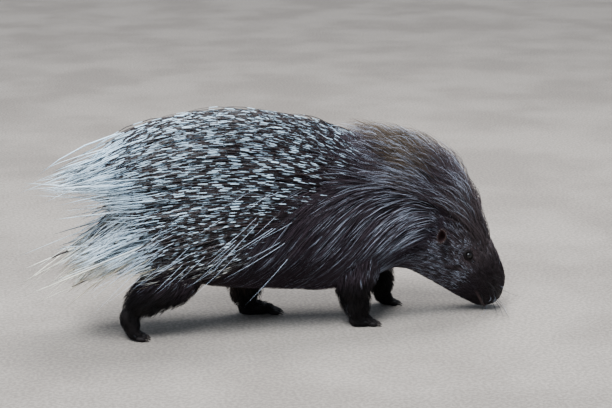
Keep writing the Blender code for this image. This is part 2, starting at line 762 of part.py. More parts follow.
def add_locks(obj, coat, trees, rng):
    pieces = []
    missed = 0
    stations = np.arange(len(LINE)) / STEPS
    far = np.concatenate([[0], np.cumsum(np.linalg.norm(np.diff(LINE[:, :2], axis=0), axis=1))])
    first, last = np.interp(coat["stations"], stations, far)
    low, high = np.radians(coat["turns"])
    row = 0
    place = first
    while place <= last:
        station = np.interp(place, far, stations)
        rounds = trunk_point(station, np.linspace(low, high, 9))
        girth = np.linalg.norm(np.diff(rounds, axis=0), axis=1).sum()
        count = max(round(girth / coat["apart"]), 1)
        for side in (-1, 1):
            for k in range(count + 1):
                turn = low + (high - low) * (k + 0.5 * (row % 2) + 0.2 * rng.uniform(-1, 1)) / count
                here = station + 0.08 * rng.uniform(-1, 1)
                draw = rng.uniform(-1, 1)
                size = 1 + 0.12 * rng.uniform(-1, 1)
                limit = np.interp(math.degrees(turn), QUILL_FRONT_TURN, QUILL_FRONT)
                if turn < max(low, 0.04) or turn > high or here <= limit + 0.1:
                    continue
                up = max(math.cos(turn), 0)
                over = coat["over"] * np.interp(station, coat["stations"], coat["ends"])
                height = coat["side"] + (over - coat["side"]) * up**3
                for attempt in range(LOCK["tries"]):
                    length = coat["length"] * size * (1 - LOCK["shorter"] * (attempt // 3))
                    tall = height + LOCK["taller"] * (attempt % 3)
                    path, out = lock_path(coat, here, side * turn, length, tall, draw)
                    widths = coat["width"] * np.array([0.7, 1.0, 0.7])
                    heights = widths * LOCK["flat"]
                    if clears(path, widths, heights, out, trees):
                        pieces.append(solid("lock", *taper(path, widths, heights, out)))
                        break
                else:
                    missed += 1
        place += coat["row"]
        row += 1
    print(obj.name, "locks", len(pieces), "left out", missed)
    return pieces


def tree_of(obj):
    obj.data.calc_loop_triangles()
    points = [vert.co[:] for vert in obj.data.vertices]
    faces = [tuple(face.vertices) for face in obj.data.loop_triangles]
    return BVHTree.FromPolygons(points, faces)


def grow_coats(parts, rng):
    # Quills and locks grow on one part after another, each clear of the parts beside it.
    for name, coats in COATS.items():
        obj = parts[name]
        trees = [tree_of(other) for key, other in parts.items() if key != name]
        pieces = []
        if name == "tail":
            pieces += add_tail_quills(obj, trees, rng)
        if name == "torso":
            pieces += add_quills(obj, trees, rng)
        for coat in coats:
            pieces += add_locks(obj, coat, trees, rng)
        combine(obj, pieces, "UNION")


def make_parts():
    parts = {
        "torso": trunk_part("torso", 0, TORSO_END),
        "neck": trunk_part("neck", TORSO_END, NECK_END),
        "head": make_head("head"),
        "tail": make_tail("tail"),
    }
    for word, side in (("left", 1), ("right", -1)):
        parts["ear_" + word] = make_ear("ear_" + word, side)
        parts["eye_" + word] = make_eye("eye_" + word, side)
    for name, side, rows, sole, toes, reach in LEGS:
        shin, stub = leg("leg_" + name, rows, side)
        parts["leg_" + name] = shin
        parts["foot_" + name] = foot("foot_" + name, stub, sole, side, toes, reach)
    grow_coats(parts, np.random.default_rng(7))
    return parts


def centre_over_origin(parts):
    # The middle of the whole model's footprint comes over the origin.
    corners = np.array([vert.co[:2] for obj in parts.values() for vert in obj.data.vertices])
    middle = (corners.min(0) + corners.max(0)) / 2
    for obj in parts.values():
        obj.location = (-middle[0], -middle[1], 0)


# Each part's colour by the first word of its name.
COLOURS = {
    "torso": (0.085, 0.075, 0.080),
    "neck": (0.045, 0.036, 0.032),
    "head": (0.060, 0.048, 0.042),
    "tail": (0.300, 0.270, 0.210),
    "ear": (0.050, 0.030, 0.026),
    "eye": (0.006, 0.005, 0.005),
    "leg": (0.014, 0.011, 0.010),
    "foot": (0.018, 0.014, 0.012),
}
ROUGHNESS = {"eye": 0.08, "ear": 0.65}


def main():
    clear_scene()
    parts = make_parts()
    animal = bpy.data.collections.new("porcupine")
    bpy.context.scene.collection.children.link(animal)
    for name, obj in parts.items():
        obj.name = name
        animal.objects.link(obj)
        obj.data.materials.clear()
        word = name.split("_")[0]
        obj.data.materials.append(material(name, COLOURS[word], ROUGHNESS.get(word, 0.8)))
    centre_over_origin(parts)


main()
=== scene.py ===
# Looks of the walking crested porcupine: skin, quills, bristles, fur, eyes, claws, floor and light.
# Shapes use the same tables as the solids, in the same metres, and are moved to the frame's origin.
import math
import bpy
import numpy as np
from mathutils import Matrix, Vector


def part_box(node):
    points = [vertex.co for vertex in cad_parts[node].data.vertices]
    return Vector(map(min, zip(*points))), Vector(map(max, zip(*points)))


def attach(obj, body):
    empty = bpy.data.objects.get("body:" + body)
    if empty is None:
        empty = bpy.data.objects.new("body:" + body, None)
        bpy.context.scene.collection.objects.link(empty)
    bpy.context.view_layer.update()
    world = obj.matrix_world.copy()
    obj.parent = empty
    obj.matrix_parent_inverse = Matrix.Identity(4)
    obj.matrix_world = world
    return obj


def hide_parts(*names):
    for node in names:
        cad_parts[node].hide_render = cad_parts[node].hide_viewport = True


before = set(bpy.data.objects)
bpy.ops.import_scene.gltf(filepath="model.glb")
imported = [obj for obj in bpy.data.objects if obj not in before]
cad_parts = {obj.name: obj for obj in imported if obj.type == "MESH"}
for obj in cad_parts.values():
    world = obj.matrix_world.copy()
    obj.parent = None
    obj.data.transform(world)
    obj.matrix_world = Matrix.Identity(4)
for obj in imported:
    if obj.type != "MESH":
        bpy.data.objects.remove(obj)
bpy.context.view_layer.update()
bothSides = (("left", 1), ("right", -1))


def unit(vectors):
    vectors = np.asarray(vectors, float)
    return vectors / np.maximum(np.linalg.norm(vectors, axis=-1, keepdims=True), 1e-12)


# fade: 0 below low, 1 above high, with a smooth S between.
def fade(value, low, high):
    share = np.clip((value - low) / (high - low), 0, 1)
    return share * share * (3 - 2 * share)


# fullTurn: angles spread evenly round a full turn.
def fullTurn(sides):
    return np.arange(sides) * 2 * math.pi / sides


# shares: from 0 at a root to 1 at its tip, with a column for each point of a path.
def shares(rings):
    return np.linspace(0, 1, rings)[None, :]


# bentPaths: curves that leave the root one way and turn evenly to another at the tip, point = root +
# length * ((u - u^2 / 2) * start + u^2 / 2 * end).
def bentPaths(root, length, start, end, rings):
    u = shares(rings)[..., None]
    return root[:, None] + length[:, None, None] * ((u - u**2 / 2) * start[:, None] + u**2 / 2 * end[:, None])


# curveThrough: a Catmull-Rom curve through rows of numbers, with so many steps between two rows.
def curveThrough(rows, steps):
    rows = np.array(rows, float)
    rows = np.vstack([2 * rows[0] - rows[1], rows, 2 * rows[-1] - rows[-2]])
    t = (np.arange(steps) / steps)[None, :, None]
    a, b, c, d = (rows[k:len(rows) - 3 + k][:, None, :] for k in range(4))
    curve = b + 0.5 * t * (c - a + t * (2 * a - 5 * b + 4 * c - d + t * (3 * (b - c) + d - a)))
    return np.vstack([curve.reshape(-1, rows.shape[1]), rows[-2]])


# rowAt: a table's row at a place between its rows.
def rowAt(place, places, table):
    return np.stack([np.interp(place, places, column) for column in table.T], -1)


# keepAbove: no point is let under a height over the floor.
def keepAbove(points, height):
    points[..., 2] = np.maximum(points[..., 2], height)


# rising: a way that leads along the skin or out of it, raised by the lift.
def rising(way, out, lift):
    inward = np.minimum((way * out).sum(-1, keepdims=True), 0)
    return unit(way - inward * out + lift[:, None] * out)


# The trunk from rump to nose: x, z, rise, drop, half width, coat over the back, on the sides, below.
trunkRows = (
    (-0.286, 0.202, 0.010, 0.010, 0.010, 0.030, 0.030, 0.010),
    (-0.278, 0.205, 0.040, 0.036, 0.036, 0.060, 0.040, 0.012),
    (-0.256, 0.213, 0.080, 0.070, 0.068, 0.070, 0.040, 0.014),
    (-0.212, 0.226, 0.115, 0.107, 0.097, 0.060, 0.036, 0.016),
    (-0.140, 0.234, 0.138, 0.136, 0.112, 0.050, 0.032, 0.016),
    (-0.050, 0.236, 0.138, 0.148, 0.116, 0.050, 0.030, 0.016),
    (0.040, 0.230, 0.132, 0.150, 0.112, 0.046, 0.026, 0.016),
    (0.120, 0.218, 0.122, 0.146, 0.102, 0.036, 0.020, 0.014),
    (0.190, 0.205, 0.110, 0.122, 0.088, 0.030, 0.016, 0.012),
    (0.250, 0.186, 0.096, 0.092, 0.074, 0.040, 0.016, 0.010),
    (0.300, 0.158, 0.084, 0.074, 0.064, 0.044, 0.016, 0.008),
    (0.340, 0.126, 0.076, 0.067, 0.057, 0.028, 0.009, 0.006),
    (0.372, 0.094, 0.071, 0.058, 0.049, 0.012, 0.004, 0.004),
    (0.396, 0.067, 0.062, 0.049, 0.040, 0.006, 0.003, 0.003),
    (0.414, 0.047, 0.053, 0.041, 0.035, 0.004, 0.002, 0.002),
    (0.429, 0.0295, 0.041, 0.032, 0.030, 0.002, 0.001, 0.001),
    (0.4405, 0.0175, 0.022, 0.014, 0.016, 0.001, 0.001, 0.001),
)
trunkEnd = len(trunkRows) - 1
trunkSteps = 12
trunkLine = curveThrough(trunkRows, trunkSteps)
trunkPlaces = np.arange(len(trunkLine)) / trunkSteps
trunkSlope = unit(np.gradient(trunkLine[:, :2], axis=0))


# trunkPoint: the section at a station, an oval of rise, drop and half width, square to the line. The
# turn counts from the back towards the left. It is raised by a share of the coat's depth and by more.
def trunkPoint(station, turn, more=0.0, share=0.0):
    station, turn = np.broadcast_arrays(np.asarray(station, float), turn)
    row, slope = rowAt(station, trunkPlaces, trunkLine), rowAt(station, trunkPlaces, trunkSlope)
    up, side = np.cos(turn), np.sin(turn)
    over = np.where(up > 0, row[..., 5], row[..., 7])
    raised = (row[..., 6] + (over - row[..., 6]) * up**4) * share + more
    height = up * (np.where(up > 0, row[..., 2], row[..., 3]) + raised)
    return np.stack([
        row[..., 0] - slope[..., 1] * height,
        side * (row[..., 4] + raised),
        row[..., 1] + slope[..., 0] * height,
    ], -1)


# corePoint: the surface of the solids' core under the coat. It fills a share of the coat's depth, and all
# of it on the belly and the face.
core = {"share": 0.4, "belly": (0.35, 0.75), "face": (11.0, 11.9)}


def corePoint(station, turn):
    bare = np.maximum(fade(-np.cos(turn), *core["belly"]), fade(station, *core["face"]))
    return trunkPoint(station, turn, share=core["share"] + (1 - core["share"]) * bare)


# limbSurface: a round limb over rows of x, y, z, half thickness and half width, as a function of the
# place along the rows, the turn round it and the height above it.
def limbSurface(rows):
    steps = 10
    fine = curveThrough(rows, steps)
    places = np.arange(len(fine)) / steps
    ahead = unit(np.gradient(fine[:, :3], axis=0))
    across = unit(np.array([0.0, 1.0, 0.0]) - ahead[:, 1:2] * ahead)
    over = np.cross(across, ahead)

    def point(place, turn, more=0.0):
        place, turn = np.broadcast_arrays(np.asarray(place, float), turn)
        row, wide, thick = (rowAt(place, places, table) for table in (fine, across, over))
        return (
            row[..., :3]
            + thick * ((row[..., 3] + more) * np.cos(turn))[..., None]
            + wide * ((row[..., 4] + more) * np.sin(turn))[..., None]
        )

    return point


# surfaceFrame: a point of a surface, the ways along, round and out of it, and metres per unit of both.
def surfaceFrame(surface, place, turn, step=0.02):
    along = (surface(place + step, turn) - surface(place - step, turn)) / (2 * step)
    around = (surface(place, turn + step) - surface(place, turn - step)) / (2 * step)
    out = unit(np.cross(along, around))
    lengths = np.linalg.norm(along, axis=-1), np.linalg.norm(around, axis=-1)
    return surface(place, turn), unit(along), unit(around), out, *np.maximum(lengths, 1e-4)


eye = {"station": 11.45, "turn": math.radians(76), "radius": 0.0062, "depth": 0.0026}


# eyePlace: a point so far out from the core at an eye, and the ways ahead, round and out there.
def eyePlace(side, out):
    here, ahead, around, normal, _, _ = surfaceFrame(corePoint, eye["station"], side * eye["turn"], 0.03)
    return here + normal * out, (ahead, around, normal)


# The frame's origin lies under the middle of the solids' footprint. Every point moves by this much, which
# sets these shapes' left eye on the middle of the solids' left eye.
low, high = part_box("eye_left")
shift = np.array((low + high) / 2) - eyePlace(1, -eye["depth"])[0]
print("shift to the frame", np.round(shift, 4))


def makeMesh(name, points, faces, material):
    mesh = bpy.data.meshes.new(name)
    mesh.from_pydata(np.asarray(points).reshape(-1, 3) + shift, [], faces)
    mesh.materials.append(material)
    mesh.polygons.foreach_set("use_smooth", np.ones(len(mesh.polygons), bool))
    made = bpy.data.objects.new(name, mesh)
    bpy.context.scene.collection.objects.link(made)
    return made


# ringQuads: quads from each ring of points to the next, and from the last to the first if looped.
def ringQuads(count, sides, looped=False):
    i, j = np.meshgrid(np.arange(count - 1 + looped), np.arange(sides), indexing="ij")
    after, beside = (i + 1) % count, (j + 1) % sides
    quads = np.stack([i * sides + j, i * sides + beside, after * sides + beside, after * sides + j], -1)
    return quads.reshape(-1, 4).tolist()


# closedGrid: rings of points joined by quads, with a pole in the middle of each end ring.
def closedGrid(rings):
    count, sides = rings.shape[:2]
    points = np.vstack([rings.reshape(-1, 3), rings[0].mean(0), rings[-1].mean(0)])
    j = np.arange(sides)
    k, pole, top = (j + 1) % sides, np.full(sides, count * sides), (count - 1) * sides
    ends = np.concatenate([np.stack([k, j, pole], -1), np.stack([top + j, top + k, pole + 1], -1)])
    return points, ringQuads(count, sides) + ends.tolist()


# outward: turns a list of faces round if the closed shape they bound has a negative volume.
def outward(points, faces):
    volume = sum(
        float(np.einsum("ij,ij->i", points[f[:, 0]], np.cross(points[f[:, k]], points[f[:, k + 1]])).sum())
        for f in (np.array([q for q in faces if len(q) == n]) for n in {len(q) for q in faces})
        for k in range(1, f.shape[1] - 1)
    )
    return faces if volume > 0 else [list(reversed(f)) for f in faces]


def shell(name, rings, material):
    points, faces = closedGrid(rings)
    return makeMesh(name, points, outward(points, faces), material)


def finishPiece(made, slot, *nodes):
    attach(made, "root")
    if nodes:
        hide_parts(*nodes)
    print(made.name, "triangles", len(made.data.loops) - 2 * len(made.data.polygons))


# Shader helpers: nodes are added with their inputs given as values or as other nodes' sockets.
def addNode(tree, kind, inputs=None, **settings):
    node = tree.nodes.new(kind)
    for key, value in settings.items():
        setattr(node, key, value)
    for key, value in (inputs or {}).items():
        if isinstance(value, bpy.types.NodeSocket):
            tree.links.new(value, node.inputs[key])
        else:
            node.inputs[key].default_value = value
    return node


def math2(tree, operation, a, b=0.0, c=0.0):
    return addNode(tree, "ShaderNodeMath", {0: a, 1: b, 2: c}, operation=operation).outputs[0]


def ramp(tree, value, low, high, start=0.0, end=1.0):
    inputs = {"Value": value, "From Min": low, "From Max": high, "To Min": start, "To Max": end}
    return addNode(tree, "ShaderNodeMapRange", inputs, interpolation_type="SMOOTHSTEP").outputs["Result"]


# mixColour: the mix node keeps its colours in inputs 6 and 7 and its mixed colour in output 2.
def mixColour(tree, factor, a, b, blend="MIX"):
    a, b = (c if isinstance(c, bpy.types.NodeSocket) else (*c, 1) for c in (a, b))
    inputs = {0: factor, 6: a, 7: b}
    return addNode(tree, "ShaderNodeMix", inputs, data_type="RGBA", blend_type=blend).outputs[2]


def noise(tree, scale, detail):
    place = addNode(tree, "ShaderNodeTexCoord").outputs["Object"]
    inputs = {"Vector": place, "Scale": scale, "Detail": detail}
    return addNode(tree, "ShaderNodeTexNoise", inputs).outputs["Fac"]


# newGroup: a group of nodes that makes a colour of what is given, which is named as a mesh's attributes.
def newGroup(name, *given):
    group = bpy.data.node_groups.new(name, "ShaderNodeTree")
    for socket in given:
        kind = "NodeSocketColor" if socket == "tint" else "NodeSocketFloat"
        group.interface.new_socket(socket, in_out="INPUT", socket_type=kind)
    group.interface.new_socket("colour", in_out="OUTPUT", socket_type="NodeSocketColor")
    out = group.nodes.new("NodeGroupOutput").inputs["colour"]
    return group, group.nodes.new("NodeGroupInput").outputs, out


# hairGroup: the tint, darker at the root and varied from hair to hair, and pale bluish towards some tips:
# partly the hairs' own frosted tips, partly a painted sky glint that stands in for their sheen.
def hairGroup():
    group, given, out = newGroup("hairColour", "tint", "pale", "along", "dice")
    depth = ramp(group, given["along"], 0.0, 0.7, 0.45, 1.0)
    vary = ramp(group, given["dice"], 0.0, 1.0, 0.22, 1.95)
    shade = math2(group, "MULTIPLY", depth, vary)
    dark = addNode(group, "ShaderNodeVectorMath", {0: given["tint"], "Scale": shade}, operation="SCALE")
    chance = ramp(group, math2(group, "SUBTRACT", given["pale"], given["dice"]), -0.07, 0.07)
    tip = math2(group, "MULTIPLY", ramp(group, given["along"], 0.25, 0.8), chance)
    # The pale bluish tip colour is real frosting and a painted glint of the sky in one.
    group.links.new(mixColour(group, tip, dark.outputs[0], (0.50, 0.55, 0.67)), out)
    return group


bandLength = 0.056  # one dark and one white band of a quill


# quillGroup: each quill's own white, which is its tint (on back and flanks given a painted bluish cast of
# the sky light), and near-black in bands by the distance from the tip, and all white where pale is high.
def quillGroup():
    group, given, out = newGroup("quillColour", "tint", "far", "pale", "dice", "along")
    shifted = math2(group, "MULTIPLY", given["dice"], 2.7)
    phase = math2(group, "MULTIPLY_ADD", given["far"], 2 * math.pi / bandLength, shifted)
    wave = math2(group, "SINE", phase)
    band = ramp(group, math2(group, "ADD", wave, given["pale"]), -0.12, 0.12)
    # Browner towards the root: half a warm brown at the root, none from mid-length on.
    rootward = ramp(group, given["along"], 0.0, 0.5, 0.5, 0.0)
    rootBrowned = mixColour(group, rootward, given["tint"], (0.42, 0.36, 0.30))
    black = mixColour(group, given["dice"], (0.007, 0.004, 0.005), (0.028, 0.016, 0.016))
    group.links.new(mixColour(group, band, black, rootBrowned), out)
    return group


def readAttribute(tree, name):
    node = addNode(tree, "ShaderNodeAttribute", attribute_name=name)
    return node.outputs["Color" if name == "tint" else "Fac"]


def newMaterial(name, roughness, gleam=0.5):
    made = bpy.data.materials.new(name)
    made.use_nodes = True
    shader = made.node_tree.nodes["Principled BSDF"]
    shader.inputs["Roughness"].default_value = roughness
    shader.inputs["Specular IOR Level"].default_value = gleam
    return made, made.node_tree, shader


def coatMaterial(name, group, roughness, gleam):
    made, tree, shader = newMaterial(name, roughness, gleam)
    node = addNode(tree, "ShaderNodeGroup", node_tree=group)
    for socket in node.inputs:
        tree.links.new(readAttribute(tree, socket.name), socket)
    tree.links.new(node.outputs["colour"], shader.inputs["Base Color"])
    return made


def addBump(tree, shader, height, strength, distance):
    inputs = {"Height": height, "Strength": strength, "Distance": distance}
    tree.links.new(addNode(tree, "ShaderNodeBump", inputs).outputs["Normal"], shader.inputs["Normal"])


# bumpyMaterial: a colour mottled by noise in object coordinates, with a fine bump of the same kind.
def bumpyMaterial(name, colour, other, roughness, scale, strength, tinted=False, gleam=0.3):
    made, tree, shader = newMaterial(name, roughness, gleam)
    mottle = noise(tree, scale, 6.0)
    colour = readAttribute(tree, "tint") if tinted else colour
    mixed = mixColour(tree, ramp(tree, mottle, 0.35, 0.65), colour, other)
    tree.links.new(mixed, shader.inputs["Base Color"])
    addBump(tree, shader, mottle, strength, 0.001)
    return made


furLook = coatMaterial("furLook", hairGroup(), 0.50, 0.14)
quillLook = coatMaterial("quillLook", quillGroup(), 0.35, 0.4)
skinLook = bumpyMaterial("skinLook", None, (0.012, 0.009, 0.009), 0.6, 900, 0.5, tinted=True, gleam=0.12)
noseLook = bumpyMaterial("noseLook", (0.080, 0.045, 0.040), (0.035, 0.020, 0.018), 0.45, 1400, 0.6)
lipLook = bumpyMaterial("lipLook", (0.052, 0.029, 0.029), (0.025, 0.014, 0.014), 0.5, 1200, 0.5)
lidLook = bumpyMaterial("lidLook", (0.008, 0.005, 0.005), (0.004, 0.003, 0.003), 0.6, 2200, 0.6, gleam=0.12)
earLook = bumpyMaterial("earLook", (0.046, 0.025, 0.024), (0.022, 0.012, 0.012), 0.65, 500, 0.5, gleam=0.12)
clawLook = bumpyMaterial("clawLook", (0.050, 0.040, 0.034), (0.020, 0.016, 0.014), 0.35, 700, 0.2)
eyeLook, _, eyeShader = newMaterial("eyeLook", 0.05, 0.32)
eyeShader.inputs["Base Color"].default_value = (0.0025, 0.002, 0.002, 1)


# markings: the colour of skin and coat by place, and how many hairs there have pale tips, which are partly
# frosted and partly a painted sky glint. Each patch is a soft ball round a centre, mirrored on both sides,
# laid over what was there before.
patches = (
    # centre x, |y|, z, radius, softness, colour, pale
    (0.200, 0.060, 0.250, 0.070, 0.05, (0.042, 0.031, 0.038), 0.24),
    (0.270, 0.055, 0.222, 0.040, 0.03, (0.042, 0.032, 0.038), 0.46),
    (0.295, 0.000, 0.285, 0.046, 0.040, (0.082, 0.061, 0.043), 0.22),
    (0.392, 0.000, 0.150, 0.055, 0.04, (0.074, 0.058, 0.062), 0.30),
    (0.330, 0.052, 0.092, 0.040, 0.04, (0.056, 0.043, 0.048), 0.30),
    (0.240, 0.060, 0.122, 0.014, 0.02, (0.060, 0.055, 0.060), 0.98),
    (0.380, 0.052, 0.116, 0.013, 0.014, (0.066, 0.047, 0.050), 0.10),
    (-0.100, 0.060, 0.100, 0.045, 0.03, (0.042, 0.028, 0.023), 0.0),
    (-0.300, 0.000, 0.205, 0.060, 0.03, (0.260, 0.240, 0.210), 0.3),
    (0.440, 0.000, 0.036, 0.042, 0.06, (0.020, 0.014, 0.016), 0.0),
)


# Before the patches: the coat's tint and share of pale tips (frosting and painted glint), the legs' tint,
# where legs begin in z and the head in x, and where pale tips end towards the muzzle, by how much.
ground = {
    "tint": (0.043, 0.031, 0.039), "pale": 0.14, "legs": (0.0055, 0.0042, 0.0044), "legsZ": (0.12, 0.08),
    "headX": (0.25, 0.30), "muzzleX": (0.365, 0.410), "muzzle": 0.85, "skin": 0.5,
}


def markings(points):
    tint = np.broadcast_to(ground["tint"], points.shape).copy()
    pale = np.full(points.shape[:-1], ground["pale"])
    above, below = ground["legsZ"]
    legs = fade(-points[..., 2], -above, -below) * (1 - fade(points[..., 0], *ground["headX"]))
    tint += (np.array(ground["legs"]) - tint) * legs[..., None]
    pale *= 1 - legs
    for x, y, z, radius, soft, colour, frost in patches:
        away = np.stack([points[..., 0] - x, abs(points[..., 1]) - y, points[..., 2] - z], -1)
        near = 1 - fade(np.linalg.norm(away, axis=-1), radius, radius + soft)
        tint += (np.array(colour) - tint) * near[..., None]
        pale += (frost - pale) * near
    return tint, pale * (1 - ground["muzzle"] * fade(points[..., 0], *ground["muzzleX"]))


def writeTint(made, tint):
    layer = made.data.attributes.new("tint", "FLOAT_COLOR", "POINT")
    layer.data.foreach_set("color", np.concatenate([tint, np.ones((len(tint), 1))], 1).ravel())


# Legs and feet: the side; rows of x, |y|, z, half thickness and half width of the leg and of the foot;
# the kind of foot; and the toes' roots and tips in x.
legTable = {
    "hind_left": (1, (
        (-0.160, 0.060, 0.200, 0.060, 0.030), (-0.110, 0.062, 0.155, 0.054, 0.032),
        (-0.066, 0.060, 0.112, 0.044, 0.030), (-0.051, 0.056, 0.072, 0.035, 0.025),
        (-0.046, 0.055, 0.036, 0.025, 0.0195), (-0.042, 0.055, 0.014, 0.013, 0.0120),
    ), (
        (-0.062, 0.055, 0.0100, 0.0080, 0.0090), (-0.054, 0.055, 0.0115, 0.0130, 0.0130),
        (-0.034, 0.055, 0.0125, 0.0140, 0.0155), (-0.012, 0.055, 0.0105, 0.0120, 0.0185),
        (0.001, 0.055, 0.0080, 0.0090, 0.0190), (0.007, 0.055, 0.0070, 0.0050, 0.0160),
    ), "hind", (0.001, 0.018)),
    "hind_right": (-1, (
        (-0.195, 0.060, 0.200, 0.062, 0.030), (-0.190, 0.062, 0.152, 0.056, 0.032),
        (-0.208, 0.060, 0.112, 0.046, 0.030), (-0.241, 0.057, 0.086, 0.036, 0.025),
        (-0.269, 0.055, 0.066, 0.027, 0.0200), (-0.285, 0.055, 0.048, 0.013, 0.0120),
    ), (
        (-0.2935, 0.055, 0.0600, 0.0090, 0.0100), (-0.2890, 0.055, 0.0500, 0.0165, 0.0150),
        (-0.2840, 0.055, 0.0320, 0.0165, 0.0165), (-0.2800, 0.055, 0.0150, 0.0120, 0.0175),
        (-0.2710, 0.055, 0.0078, 0.0095, 0.0185), (-0.2650, 0.055, 0.0070, 0.0055, 0.0160),
    ), "hind", (-0.271, -0.256)),
    "fore_left": (1, (
        (0.180, 0.050, 0.180, 0.044, 0.028), (0.188, 0.056, 0.135, 0.042, 0.029),
        (0.206, 0.060, 0.090, 0.034, 0.025), (0.220, 0.060, 0.056, 0.026, 0.020),
        (0.2250, 0.060, 0.036, 0.020, 0.0170), (0.2270, 0.060, 0.022, 0.010, 0.0110),
    ), (
        (0.2150, 0.060, 0.0270, 0.0080, 0.0100), (0.2220, 0.060, 0.0220, 0.0125, 0.0135),
        (0.2340, 0.060, 0.0140, 0.0130, 0.0155), (0.2430, 0.060, 0.0080, 0.0098, 0.0160),
        (0.2490, 0.060, 0.0070, 0.0055, 0.0135),
    ), "fore", (0.244, 0.2575)),
    "fore_right": (-1, (
        (0.170, 0.050, 0.180, 0.046, 0.028), (0.150, 0.056, 0.135, 0.044, 0.030),
        (0.142, 0.060, 0.090, 0.036, 0.026), (0.143, 0.060, 0.058, 0.027, 0.021),
        (0.147, 0.060, 0.033, 0.0205, 0.0175), (0.150, 0.060, 0.014, 0.011, 0.0120),
    ), (
        (0.1330, 0.060, 0.0110, 0.0080, 0.0100), (0.1410, 0.060, 0.0115, 0.0130, 0.0135),
        (0.1560, 0.060, 0.0115, 0.0130, 0.0155), (0.1690, 0.060, 0.0082, 0.0098, 0.0165),
        (0.1760, 0.060, 0.0070, 0.0055, 0.0140),
    ), "fore", (0.171, 0.1850)),
}
# Toes: how many, how far they spread at the root and splay to the tip, radius, arch, and claw's length.
toeTable = {
    "hind": {"count": 5, "spread": 0.0160, "splay": 0.0045, "radius": 0.0048, "arch": 0.005, "claw": 0.0090},
    "fore": {"count": 4, "spread": 0.0125, "splay": 0.0035, "radius": 0.0050, "arch": 0.004, "claw": 0.0115},
}
tailRows = (
    (-0.255, 0.0, 0.194, 0.022, 0.022), (-0.292, 0.0, 0.172, 0.019, 0.019),
    (-0.326, 0.0, 0.147, 0.013, 0.014), (-0.352, 0.0, 0.126, 0.006, 0.006),
)
furDepth = 0.0022  # legs, feet and tail: the skin lies this far inside the solids, and fur fills the rest


def mirroredRows(rows, side):
    return np.array(rows) * (1, side, 1, 1, 1)


def toeRows(side, sole, toes, reach):
    for k in range(toes["count"]):
        across = 2 * k / (toes["count"] - 1) - 1
        back = toes["arch"] * across**2
        y = sole[-1][1] + toes["spread"] * across
        root = np.array((reach[0] - back, side * y, toes["radius"] + 0.001))
        tip = np.array((reach[1] - back, side * (y + toes["splay"] * across), toes["radius"] * 0.8))
        yield root, tip


toeBulge = (0.75, 0.85, 0.9, 0.98, 1.0, 1.0, 0.92, 0.72, 0.38)  # a toe's thickness from root to tip


# makeSkin: trunk, legs, soles, toes and tail as closed grids, joined by one union into one skin. The
# trunk's rings are closer together on the face.
def makeSkin():
    stations = np.concatenate([np.arange(0, 11, 1 / 8), np.arange(11, trunkEnd + 0.01, 1 / 20)])
    body = shell("skin", trunkPoint(stations[:, None], fullTurn(128)[None, :]), skinLook)
    parts = []
    turns = (np.arange(32) + 0.5) * 2 * math.pi / 32
    for side, rows, sole, kind, reach in legTable.values():
        places = np.linspace(0, len(rows) - 1, 40)[:, None]
        parts.append(shell("leg", limbSurface(mirroredRows(rows, side))(places, turns, -furDepth), skinLook))
        places = np.linspace(0, len(sole) - 1, 30)[:, None]
        rings = limbSurface(mirroredRows(sole, side))(places, turns, -0.001)
        keepAbove(rings, 0.0005)
        parts.append(shell("sole", rings, skinLook))
        radius = toeTable[kind]["radius"]
        for root, tip in toeRows(side, sole, toeTable[kind], reach):
            ahead = unit(tip - root)
            u = np.linspace(0, 1, len(toeBulge))
            line = root + np.outer(u, tip + ahead * radius * 0.4 - root)
            bulge = radius * np.array(toeBulge)
            surface = limbSurface(np.column_stack([line, bulge, bulge]))
            rings = surface(np.linspace(0, len(toeBulge) - 1, 17)[:, None], turns[::2])
            keepAbove(rings, 0.0004)
            parts.append(shell("toe", rings, skinLook))
    places = np.linspace(0, 3, 24)[:, None]
    parts.append(shell("tail", limbSurface(tailRows)(places, turns, -furDepth), skinLook))
    group = bpy.data.collections.new("joined")
    for part in parts:
        group.objects.link(part)
    modifier = body.modifiers.new("union", "BOOLEAN")
    modifier.operand_type = "COLLECTION"
    modifier.collection = group
    modifier.operation = "UNION"
    modifier.solver = "MANIFOLD"
    graph = bpy.context.evaluated_depsgraph_get()
    mesh = bpy.data.meshes.new_from_object(body.evaluated_get(graph))
    body.modifiers.clear()
    body.data = mesh
    for part in parts:
        bpy.data.objects.remove(part)
    bpy.data.collections.remove(group)
    body.data.polygons.foreach_set("use_smooth", np.ones(len(body.data.polygons), bool))
    points = np.empty(len(body.data.vertices) * 3)
    body.data.vertices.foreach_get("co", points)
    writeTint(body, ground["skin"] * markings(points.reshape(-1, 3) - shift)[0])
    flesh = [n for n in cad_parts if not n.startswith(("eye", "ear"))]
    finishPiece(body, "leg_fur", *flesh)


makeSkin()


